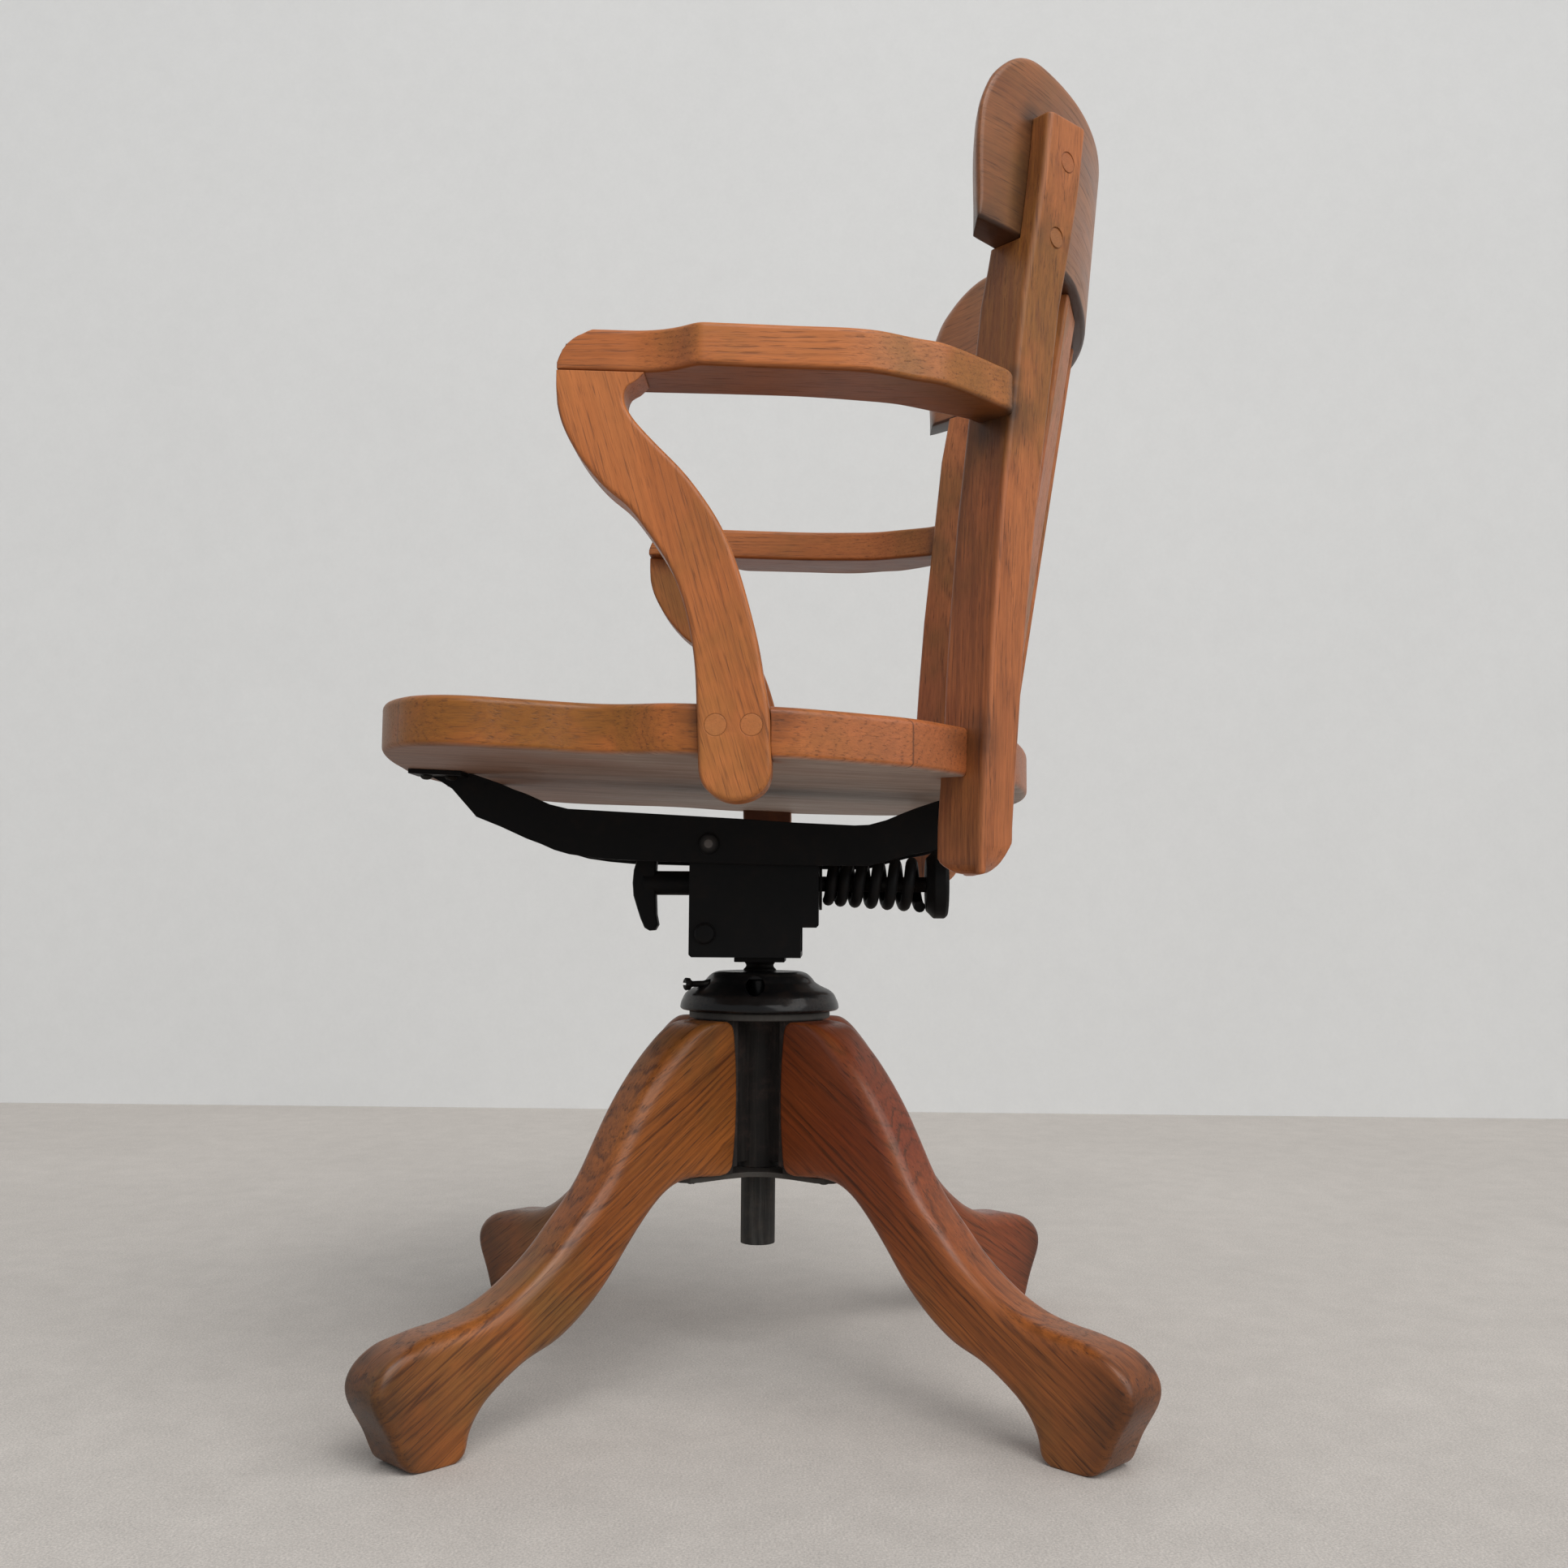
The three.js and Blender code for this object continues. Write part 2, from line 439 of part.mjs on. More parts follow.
const RAIL_SCREWS = [[64, -251], [64, -232], [64, 160], [64, 180]];
const SIDES = [["left", 1], ["right", -1]];
for (const [side, s] of SIDES) {
  let rail = solid(prismX(RAIL_OUTLINE, RAIL_X[0], RAIL_X[1]));
  for (const [y0, y1] of [[-262, -222], [150, 190]]) {
    const tab = shearZ(block(RAIL_X[0] + 1, 76, y0, y1, -3.6, -GAP), SEAT_SLOPE, SEAT_REF_Y).translate(0, 0, SEAT_TOP - SEAT_THICKNESS);
    rail = rail.add(solid(tab));
  }
  for (const [x, y] of RAIL_SCREWS) rail = rail.subtract(solid(rod(2.6, V(x, y, 430), V(x, y, 470), 10)));
  rail = rail.subtract(solid(rod(6 + GAP, V(40, PIVOT[0], PIVOT[1]), V(60, PIVOT[0], PIVOT[1]), 20)));
  add("seat_rail_" + side, s > 0 ? rail : rail.mirror([1, 0, 0]), BLACK);
  RAIL_SCREWS.forEach(([x, y], i) => {
    const z = seatBottomAt(y) - 3.6 - 0.55;
    add("rail_screw_" + side + "_" + (i + 1), latheZ([[0, z - 3], [2.6, z - 2.7], [4.2, z - 1.6], [4.8, z], [2.2, z], [2.2, z + 20], [0, z + 23]], 10)
      .translate(s * x, y, 0), STEEL);
  });
}

// Back posts: one section pushed up in steps, each step moved to its place.
function post(grow) {
  const g0 = -grow, a1 = POST_SIDE + grow, b1 = 38 + grow, c = 3;
  const section = [
    [g0 + c, g0], [a1 - c, g0], [a1, g0 + c], [a1, b1 - c], [a1 - c, b1], [g0 + c, b1], [g0, b1 - c], [g0, g0 + c],
  ];
  const z0 = 374, z1 = 930;
  const g = extrude(section, z1 - z0, 0, 0, 16).translate(0, 0, z0);
  const p = g.attributes.position;
  for (let i = 0; i < p.count; i++) {
    const z = p.getZ(i), a = p.getX(i), b = (p.getY(i) * (p.getY(i) > 0 && p.getY(i) < 38 ? interp(POST_DEPTH, z) / 38 : 1))
      + (p.getY(i) >= 38 ? interp(POST_DEPTH, z) - 38 : 0);
    const rise = interp(POST_RISE, z), n = Math.hypot(31, rise);
    p.setXYZ(i, POST_X - (a * 31) / n - b * Math.SQRT1_2, interp(POST_CORNER, z) - (a * rise) / n + b * Math.SQRT1_2, z);
  }
  return solid(g);
}
const crestPlan = (outer, inner, y0, n) => {
  const yc = CREST_APEX - CREST_R[1], points = [];
  const arc = (r, from, to) => {
    for (let i = 0; i <= n; i++) {
      const a = from + ((to - from) * i) / n;
      points.push([r * Math.cos(a), yc + r * Math.sin(a)]);
    }
  };
  const a = Math.asin((y0 - yc) / outer);
  arc(outer, a, Math.PI - a);
  if (inner) {
    const b = Math.asin((y0 - yc) / inner);
    arc(inner, Math.PI - b, b);
  }
  return points;
};
const postTrim = solid(prismX(POST_FOOT, 100, 260));
const postTop = solid(block(100, 260, 100, 260, POST_Z[1], 950));
const crestRoom = solid(shearY(prismZ(crestPlan(CREST_R[1] + GAP, 0, 100, 72), SHOULDER_Z - GAP, 960), CREST_LEAN, SHOULDER_Z));
const wholePost = post(0).intersect(postTrim).subtract(postTop);
const postRoom = post(GAP);

// Wood plugs over the screws at the top of the posts.
const POST_PLUGS = [[866.9, 214.8], [813.7, 206.6]].map(([z, y]) => [POST_X + interp(POST_CORNER, z) - y, y, z]);
const PLUG_R = 7;
let onePost = wholePost.subtract(crestRoom);
POST_PLUGS.forEach(([x, y, z]) => {
  const n = V(1, 1, 0).normalize(), at = (d) => V(x, y, z).addScaledVector(n, d);
  onePost = onePost.subtract(solid(rod(PLUG_R + GAP, at(-6.3), at(20), 20)));
});
for (const [side, s] of SIDES) {
  add("back_post_" + side, s > 0 ? onePost : onePost.mirror([1, 0, 0]), OAK);
  POST_PLUGS.forEach(([x, y, z], i) => {
    const n = V(1, 1, 0).normalize(), at = (d) => V(x, y, z).addScaledVector(n, d);
    const plug = solid(rod(PLUG_R, at(-6), at(20), 20)).intersect(wholePost);
    add("post_plug_" + side + "_" + (i + 1), s > 0 ? plug : plug.mirror([1, 0, 0]), OAK);
  });
}

// Arm supports with their plugs.
const SUPPORT_PLUGS = [[-17, 469.5], [5.3, 469.6]];
const supportRoom = solid(prismX(grown(SUPPORT_OUTLINE, GAP), SUPPORT_X[0] - GAP, 320));
for (const [side, s] of SIDES) {
  const flip = (m) => (s > 0 ? m : m.mirror([1, 0, 0]));
  let support = solid(prismX(SUPPORT_OUTLINE, SUPPORT_X[0], SUPPORT_X[1], 2, 1));
  SUPPORT_PLUGS.forEach(([y, z], i) => {
    support = support.subtract(solid(rod(PLUG_R + GAP, V(SUPPORT_X[1] - 6.3, y, z), V(300, y, z), 20)));
    add("support_plug_" + side + "_" + (i + 1), flip(solid(rod(PLUG_R, V(SUPPORT_X[1] - 6, y, z), V(SUPPORT_X[1], y, z), 20))), OAK);
  });
  add("arm_support_" + side, flip(support), OAK);
}

// Arms: flat boards that slope down a little to the posts, rounded at the front.
{
  const board = shearZ(prismZ(ARM_OUTLINE, ARM_BOTTOM, ARM_BOTTOM + ARM_THICKNESS, 3, 2), ARM_SLOPE, -30);
  const nose = [
    [-119.4, 680], [-119.4, 699.7], [-117, 707], [-113, 712.8], [-107, 717.5], [-100.7, 720.5], [-95, 730], [260, 730], [260, 680],
  ];
  const arm = solid(board).intersect(solid(prismX(nose, 150, 320))).subtract(postRoom);
  for (const [side, s] of SIDES) add("arm_" + side, s > 0 ? arm : arm.mirror([1, 0, 0]), OAK);
}

// Seat board, cut round the posts and notched for the arm supports.
{
  const outline = [...SEAT_HALF, ...SEAT_HALF.slice(1, -1).reverse().map(([x, y]) => [-x, y])];
  const board = shearZ(
    prismZ(outline, SEAT_TOP - SEAT_THICKNESS, SEAT_TOP, SEAT_ROUNDING, 1), SEAT_SLOPE, SEAT_REF_Y);
  let seat = solid(board);
  for (const m of [postRoom, supportRoom]) seat = seat.subtract(m).subtract(m.mirror([1, 0, 0]));
  for (const [x, y] of RAIL_SCREWS) for (const s of [1, -1]) {
    const z = seatBottomAt(y);
    seat = seat.subtract(solid(rod(2.6, V(s * x, y, z - 10), V(s * x, y, z + 20.5), 10)));
  }
  add("seat_board", seat, OAK);
}

// Crest rail: bent horseshoe plan, leaning back, trimmed to its side view.
{
  const ring = shearY(prismZ(crestPlan(CREST_R[1], CREST_R[0], 100, 36), 780, 960), CREST_LEAN, SHOULDER_Z);
  const crest = solid(ring).intersect(solid(prismX(CREST_SIDE, -300, 300)));
  add("crest_rail", crest, OAK);
}

// Slats between seat and crest rail.
const SLAT_LEAN = 0.158;
const belowCrest = solid(prismX([
  [100, 400], [300, 400], [300, 802.5 - GAP], [242, 802.5 - GAP], [234, 804.5 - GAP], [226, 808 - GAP], [219, SHOULDER_Z - GAP], [100, SHOULDER_Z - GAP],
], -200, 200));
[[0, 0], [92, -13], [-92, -13]].forEach(([x, dy], i) => {
  const w = 21, t = 6, c = 3;
  const section = [[-w + c, -t], [w - c, -t], [w, -t + c], [w, t - c], [w - c, t], [-w + c, t], [-w, t - c], [-w, -t + c]];
  const turn = Math.atan2(x, 320);
  const g = shearY(prismZ(section, 440, 830).rotateZ(-turn).translate(x, 189 + dy, 0), SLAT_LEAN, 476);
  const above = shearZ(block(-200, 200, 100, 300, GAP, 600), SEAT_SLOPE, SEAT_REF_Y).translate(0, 0, SEAT_TOP);
  add("back_slat_" + (i + 1), solid(g).intersect(solid(above)).intersect(belowCrest), OAK);
});

// ---------------------------------------------------------------- origin at the bottom centre of the box
const size = new THREE.Box3().setFromObject(chair);
chair.position.set(-(size.min.x + size.max.x) / 2, -(size.min.y + size.max.y) / 2, -size.min.z);

export default chair;
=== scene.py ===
import math

import bmesh
import bpy
import numpy as np
from mathutils import Matrix, Vector
from mathutils.geometry import delaunay_2d_cdt


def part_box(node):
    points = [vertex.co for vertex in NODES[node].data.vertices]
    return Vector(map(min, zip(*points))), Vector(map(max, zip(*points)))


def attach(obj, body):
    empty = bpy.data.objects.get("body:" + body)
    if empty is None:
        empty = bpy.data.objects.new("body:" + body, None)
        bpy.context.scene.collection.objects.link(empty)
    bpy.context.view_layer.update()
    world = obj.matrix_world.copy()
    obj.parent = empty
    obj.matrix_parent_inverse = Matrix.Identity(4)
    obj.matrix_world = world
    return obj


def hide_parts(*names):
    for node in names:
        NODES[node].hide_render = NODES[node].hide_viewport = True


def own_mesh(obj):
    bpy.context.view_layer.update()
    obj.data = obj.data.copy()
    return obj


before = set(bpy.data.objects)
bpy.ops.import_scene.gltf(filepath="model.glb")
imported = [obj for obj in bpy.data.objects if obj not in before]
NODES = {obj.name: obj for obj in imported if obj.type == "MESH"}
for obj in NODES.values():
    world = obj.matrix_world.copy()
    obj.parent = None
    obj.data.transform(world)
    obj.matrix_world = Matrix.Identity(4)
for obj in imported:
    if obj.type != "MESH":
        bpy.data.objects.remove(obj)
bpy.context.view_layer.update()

# The outlines below are drawn in millimetres round the swivel axis, as in the CAD source.
# The row frame has its origin at the bottom centre of the box, so they are moved by OFFSET.
_lo, _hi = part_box("guard_tube")
OFFSET = np.array([(_lo.x + _hi.x) / 2, (_lo.y + _hi.y) / 2, _lo.z - 0.100])

GAP = 0.3
BASE_YAW = 2
FLOOR_Z = 5
LEG_THICKNESS = 41
LEG_ROOT = 46
SEAT_SLOPE, SEAT_THICKNESS, SEAT_TOP, SEAT_REF_Y = -0.0384, 33, 490.5, -190
ARM_THICKNESS, ARM_SLOPE, ARM_BOTTOM = 27.5, -0.032, 692
SUPPORT_X = (251, 281)
POST_SIDE, POST_X, POST_Z, SHOULDER_Z = 41.8, 218, (380, 896), 811
CREST_R, CREST_LEAN, CREST_APEX = (305, 330), 0.0945, 254.7
CREST_YC = CREST_APEX - CREST_R[1]
PIVOT = (-37.3, 406)
ROD_Z, ROD_R = 377, 6
BOLT = (-40.2, 338)


def seat_bottom(y):
    return SEAT_TOP - SEAT_THICKNESS + SEAT_SLOPE * (y - SEAT_REF_Y)


def arm_bottom(y):
    return ARM_BOTTOM + ARM_SLOPE * (y + 30)


LEG_OUTLINE = [
    (LEG_ROOT, 272.3), (62, 272.3), (77, 271), (91, 264), (105, 253.5), (120, 238), (138, 215), (152, 192.5),
    (166, 169), (177, 155), (193, 139), (209, 123), (226, 110), (244, 99), (263, 91.5), (284, 87.5),
    (304, 85.5), (319, 82), (332, 76.5), (341, 69.5), (346, 60), (345.5, 51.5), (340, 41), (331, 26),
    (326, 14), (319, FLOOR_Z + 2), (310, FLOOR_Z), (286, FLOOR_Z), (278, 9), (272, 21), (264, 33), (247, 46), (228, 56.5),
    (205, 64), (181, 79), (161, 97), (146, 115), (129, 134), (111, 150), (97, 157.4), (88, 159.3), (LEG_ROOT, 159.3),
]
SEAT_HALF = [
    (0, -276), (36, -274), (69, -270), (104, -266), (137, -261), (168, -255), (193, -249), (212, -243), (225, -237),
    (240, -227), (252, -217), (260, -206), (265, -194), (267, -178), (265.5, -165), (263, -155), (257, -125),
    (253.5, -112), (252, -100), (252.6, -89), (256, -78), (261.5, -66), (268, -55), (272, -40), (273.5, -12),
    (274, 20), (272, 34), (268, 48), (263.5, 61), (258, 75), (246, 103), (240, 112), (221, 131), (200, 150),
    (189, 161.5), (178, 170), (165, 177.5), (150, 183), (134, 188), (117, 192), (84, 198.5), (52, 203), (26, 205.2), (0, 206),
]
SUPPORT_OUTLINE = [
    (-119.7, arm_bottom(-119.7) - GAP), (-119.6, 680.4), (-118.6, 668.7), (-115.4, 658.8), (-109, 646.3), (-102.9, 636.5),
    (-95.1, 626.7), (-86.3, 617.4), (-74.6, 608.6), (-65.4, 597.3), (-56.2, 584.5), (-45.4, 566.6),
    (-37.7, 546.1), (-33, 525.9), (-30.2, 505.7), (-29, 482.5), (-27.6, 450.6), (-26.8, 435.5),
    (-21.8, 428), (-14.8, 423.6), (-6.8, 421.6), (2.2, 422.7), (8.1, 424.7), (14.5, 429.2), (17.4, 435.7),
    (17, 458), (16.6, 479.1), (13.4, 494.6), (9.1, 520.5), (2.7, 546.5), (-5.3, 572.7), (-15.4, 596.3),
    (-28, 615.8), (-39.7, 630.7), (-52.3, 643.4), (-64, 655.6), (-75.2, 670), (-76.9, 678.6), (-74.9, 683.9),
    (-69.7, 687.1), (-64, arm_bottom(-64) - GAP),
]
ARM_OUTLINE = [
    (281, -119.4), (281, -85), (281.4, -65), (284, -54), (290.5, -41), (296.5, -33), (299, -28), (298.2, -10), (296.7, 30),
    (295, 72), (292.5, 84), (288, 94), (281, 108), (276, 122), (264, 137), (252, 149), (237, 163), (227, 172), (221.5, 174),
    (214, 174), (200, 168), (193, 158), (195.5, 151), (201, 147), (207, 138), (215, 123), (220, 114), (229, 96), (234, 71),
    (238, 40), (239, -12), (238, -72), (238, -119.4),
]
ARM_NOSE = [(-119.4, 699.7), (-117, 707), (-113, 712.8), (-107, 717.5), (-100.7, 720.5), (-95, 730)]
POST_CORNER = [
    (370, 152.4), (380, 152.5), (412, 153), (449, 155.3), (480, 157.4), (520, 159.3), (560, 162), (620, 166.6),
    (700, 175.2), (770, 182.6), (800, 188), (850, 196.2), (900, 201.5), (930, 204.5),
]
POST_DEPTH = [(370, 34.5), (480, 34.5), (560, 37), (620, 39), (700, 40), (770, 41), (930, 41)]
POST_RISE = [(370, 28.4), (560, 28.5), (700, 27.9), (930, 27.6)]
POST_FOOT_FRONT = [(380, 147), (381.5, 139), (384, 133), (388, 128.3), (393, 124.6), (400, 121.6), (408, 119.6), (420, 90)]
POST_FOOT_REAR = [(380, 153), (381.5, 158.5), (384, 163), (388, 167), (393, 170.5), (401, 175), (410, 190), (420, 240)]
CREST_END = [
    (802, 149), (873, 148.8), (887, 150.3), (901, 154.6), (912.6, 160), (921, 166.5), (929, 174.4), (934.6, 182.4),
    (937.8, 190.6), (938.5, 198),
]

CREST_LOWER = [(140, SHOULDER_Z), (219, SHOULDER_Z), (226, 808), (234, 804.5), (242, 802.5), (300, 802.5)]


# ---------------------------------------------------------------- outlines and solids
def table(pairs, x):
    xs, ys = zip(*pairs)
    return np.interp(x, xs, ys)


def smooth_outline(points, step=3.0, corner=38.0):
    """A fine closed outline through the points, counterclockwise. It stays sharp where the points turn by more than corner."""
    P = np.array(points, float)
    area = np.sum(P[:, 0] * np.roll(P[:, 1], -1) - np.roll(P[:, 0], -1) * P[:, 1])
    if area < 0:
        P = P[::-1].copy()
    d = np.roll(P, -1, 0) - P
    L = np.linalg.norm(d, axis=1)
    u = d / L[:, None]
    before = np.roll(u, 1, 0)
    turn = np.degrees(np.arctan2(before[:, 0] * u[:, 1] - before[:, 1] * u[:, 0], (before * u).sum(1)))
    sharp = np.abs(turn) > corner
    t = before * L[:, None] + u * np.roll(L, 1)[:, None]
    t /= np.linalg.norm(t, axis=1)[:, None]
    out = []
    for i in range(len(P)):
        j = (i + 1) % len(P)
        a = u[i] if sharp[i] else t[i]
        b = u[i] if sharp[j] else t[j]
        m = max(1, round(L[i] / step))
        for k in range(m):
            s = k / m
            out.append(
                (2 * s**3 - 3 * s**2 + 1) * P[i] + (s**3 - 2 * s**2 + s) * L[i] * a
                + (-2 * s**3 + 3 * s**2) * P[j] + (s**3 - s**2) * L[i] * b
            )
    return np.array(out)


def eased(P, times, hold=None):
    """The outline with small kinks taken out. Points where hold is true stay."""
    hold = np.zeros(len(P), bool) if hold is None else hold
    for _ in range(times):
        Q = (np.roll(P, 1, 0) + 2 * P + np.roll(P, -1, 0)) / 4
        P = np.where(hold[:, None], P, Q)
    return P


def outward(P):
    """Outward miter vectors of a closed counterclockwise outline."""
    e = np.roll(P, -1, 0) - P
    e /= np.maximum(np.linalg.norm(e, axis=1), 1e-9)[:, None]
    n = np.stack([e[:, 1], -e[:, 0]], 1)
    m = n + np.roll(n, 1, 0)
    k = np.maximum((m**2).sum(1), 0.5)
    return 2 * m / k[:, None]


def inset_table(P, depth, step=0.5):
    """The outline moved inwards by 0, step, 2 step ... up to depth. Small steps with a little smoothing keep tight curves from folding."""
    levels = [P]
    Q = P
    for _ in range(int(math.ceil(depth / step)) + 1):
        Q = Q - outward(Q) * step
        mid = (np.roll(Q, 1, 0) + np.roll(Q, -1, 0)) / 2
        e = np.roll(Q, -1, 0) - Q
        f = np.roll(Q, 1, 0) - Q
        straight = np.sum(e * f, 1) / np.maximum(np.linalg.norm(e, axis=1) * np.linalg.norm(f, axis=1), 1e-9)
        soft = np.where(straight < -0.5, 0.25, 0.0)[:, None]
        Q = Q + (mid - Q) * soft
        levels.append(Q)
    return np.array(levels), step


def inset_at(levels, step, amount):
    x = np.clip(np.asarray(amount, float) / step, 0, len(levels) - 1.001)
    i = x.astype(int)
    f = (x - i)[:, None]
    k = np.arange(levels.shape[1])
    return levels[i, k] * (1 - f) + levels[i + 1, k] * f


def fill(ring, grid):
    """Triangles inside a ring, with inner points a grid step apart. Returns inner points and triangles, which count the ring first."""
    points = [Vector(p) for p in ring]
    n = len(points)
    if grid:
        lo, hi = ring.min(0), ring.max(0)
        gx, gy = (grid, grid) if np.isscalar(grid) else grid
        xs = np.arange(lo[0] + gx / 2, hi[0], gx)
        ys = np.arange(lo[1] + gy / 2, hi[1], gy)
        X, Y = np.meshgrid(xs, ys)
        C = np.stack([X.ravel(), Y.ravel()], 1)
        A, B = ring, np.roll(ring, -1, 0)
        inside = np.zeros(len(C), bool)
        near = np.full(len(C), 1e9)
        for a, b in zip(A, B):
            cross = ((a[1] > C[:, 1]) != (b[1] > C[:, 1]))
            with np.errstate(divide="ignore", invalid="ignore"):
                x = (b[0] - a[0]) * (C[:, 1] - a[1]) / (b[1] - a[1]) + a[0]
            inside ^= cross & (C[:, 0] < x)
            near = np.minimum(near, ((C - a) ** 2).sum(1))
        keep = inside & (near > (0.45 * min(gx, gy)) ** 2)
        points += [Vector(p) for p in C[keep]]
    verts, _, faces, orig, _, _ = delaunay_2d_cdt(points, [], [list(range(n))], 1, 1e-5)
    where, inner = [], []
    for k, v in enumerate(verts):
        if orig[k]:
            where.append(orig[k][0])
        else:
            where.append(len(points) + len(inner))
            inner.append(np.array(v))
    inner = [np.array(p) for p in points[n:]] + inner
    tris = []
    for f in faces:
        a, b, c = (np.array(verts[i]) for i in f)
        flip = (b[0] - a[0]) * (c[1] - a[1]) - (b[1] - a[1]) * (c[0] - a[0]) < 0
        f = [where[i] for i in f]
        tris.append(f[::-1] if flip else f)
    return np.array(inner).reshape(-1, 2), tris


def slab(outline, half, top=3.0, bottom=None, steps=5, flats=(1.0, 4.0), grid=0, walls=1):
    """A board: an outline with a thickness of 2 half, whose edges are rounded by a radius that may change along the outline.
    Returns vertices (x, y, height), faces, and how much of an edge each vertex is."""
    P = np.asarray(outline, float)
    n = len(P)
    top = np.full(n, top, float) if np.isscalar(top) else np.asarray(top, float)
    bottom = top if bottom is None else (np.full(n, bottom, float) if np.isscalar(bottom) else np.asarray(bottom, float))
    levels, step = inset_table(P, max(top.max(), bottom.max()) + max(flats) + 1)
    rings, edge = [], []
    # where an edge is sharper than elsewhere, the rings beside it keep close to it as well
    near_top, near_bottom = top / max(top.max(), 1e-6), bottom / max(bottom.max(), 1e-6)

    def add(amount, z, e):
        q = inset_at(levels, step, amount)
        rings.append(np.column_stack([q, np.broadcast_to(z, n)]))
        edge.append(np.full(n, e))

    for f in sorted(flats, reverse=True):
        add(bottom + f * near_bottom, -half, 0.0)
    for k in range(steps + 1):
        a = math.pi / 2 * k / steps
        add(bottom * (1 - math.sin(a)), -half + bottom * (1 - math.cos(a)), math.sin(2 * a))
    for k in range(1, walls):
        s = k / walls
        add(np.zeros(n), (-half + bottom) * (1 - s) + (half - top) * s, 0.0)
    for k in range(steps, -1, -1):
        a = math.pi / 2 * k / steps
        add(top * (1 - math.sin(a)), half - top * (1 - math.cos(a)), math.sin(2 * a))
    for f in sorted(flats):
        add(top + f * near_top, half, 0.0)
    m = len(rings)
    faces = []
    for r in range(m - 1):
        for i in range(n):
            j = (i + 1) % n
            faces.append([r * n + i, r * n + j, (r + 1) * n + j, (r + 1) * n + i])
    verts = [np.concatenate(rings)]
    total = m * n
    edges = [np.concatenate(edge)]
    for r, z, flip in ((0, -half, True), (m - 1, half, False)):
        inner, tris = fill(rings[r][:, :2], grid)
        for f in tris:
            f = [r * n + i if i < n else total + i - n for i in f]
            faces.append(f[::-1] if flip else f)
        verts.append(np.column_stack([inner, np.full(len(inner), z)]) if len(inner) else np.zeros((0, 3)))
        edges.append(np.zeros(len(inner)))
        total += len(inner)
    return np.concatenate(verts), faces, np.concatenate(edges)


def rounded_profile(points, radius, steps=3):
    """An open or closed lathe profile whose corners are rounded by radius."""
    P = [np.array(p, float) for p in points]
    out = [P[0]]
    for a, b, c in zip(P, P[1:], P[2:]):
        u, v = a - b, c - b
        lu, lv = np.linalg.norm(u), np.linalg.norm(v)
        if lu < 1e-9 or lv < 1e-9:
            continue
        r = min(radius, lu * 0.45, lv * 0.45)
        turn = math.degrees(math.acos(max(-1, min(1, float(-(u @ v) / lu / lv)))))
        if turn < 12 or r < 1e-6:
            out.append(b)
            continue
        p, q = b + u / lu * r, b + v / lv * r
        for k in range(steps + 1):
            s = k / steps
            out.append((1 - s) ** 2 * p + 2 * s * (1 - s) * b + s**2 * q)
    out.append(P[-1])
    return out


def lathe(profile, segments=64, axis="z", at=(0, 0, 0)):
    """A profile of (radius, height) turned about an axis. A profile that ends away from the axis is closed on itself."""
    profile = [tuple(p) for p in profile]
    closed = math.dist(profile[0], profile[-1]) < 1e-6
    if closed:
        profile = profile[:-1]
    verts, rows = [], []
    for r, z in profile:
        if r < 1e-6:
            rows.append([len(verts)])
            verts.append((0, 0, z))
        else:
            rows.append(list(range(len(verts), len(verts) + segments)))
            verts += [(r * math.cos(2 * math.pi * i / segments), r * math.sin(2 * math.pi * i / segments), z) for i in range(segments)]
    faces = []
    pairs = list(zip(rows, rows[1:])) + ([(rows[-1], rows[0])] if closed else [])
    for a, b in pairs:
        for i in range(segments):
            j = (i + 1) % segments
            if len(a) == 1 and len(b) == 1:
                break
            if len(a) == 1:
                faces.append([a[0], b[j], b[i]])
            elif len(b) == 1:
                faces.append([a[i], a[j], b[0]])
            else:
                faces.append([a[i], a[j], b[j], b[i]])
    V = np.array(verts, float)
    if axis == "y":
        V = V[:, [0, 2, 1]] * (-1, 1, 1)
    if axis == "x":
        V = V[:, [2, 0, 1]]
    return V + np.array(at, float), faces


def bar(outline, x0, x1, **kw):
    """An outline in Y, Z pushed along X."""
    v, f, e = slab(outline, abs(x1 - x0) / 2, **kw)
    return np.column_stack([v[:, 2] + (x0 + x1) / 2, v[:, 0], v[:, 1]]), f, e


def tube(path, radius, sides=12, closed_ends=True):
    """A round bar of constant radius along a line of points, closed by flat ends."""
    P = np.array(path, float)
    T = np.gradient(P, axis=0)
    T /= np.linalg.norm(T, axis=1)[:, None]
    n = np.cross(T[0], [0.0, 1.0, 0.0])
    n /= np.linalg.norm(n)
    rings = []
    for k in range(len(P)):
        n = n - T[k] * (n @ T[k])
        n /= np.linalg.norm(n)
        b = np.cross(T[k], n)
        a = np.arange(sides) * 2 * math.pi / sides
        rings.append(P[k] + radius * (np.cos(a)[:, None] * n + np.sin(a)[:, None] * b))
    V = np.concatenate(rings)
    faces = []
    for r in range(len(P) - 1):
        for i in range(sides):
            j = (i + 1) % sides
            faces.append([r * sides + i, r * sides + j, (r + 1) * sides + j, (r + 1) * sides + i])
    faces.append(list(range(sides))[::-1])
    faces.append([(len(P) - 1) * sides + i for i in range(sides)])
    return V, faces


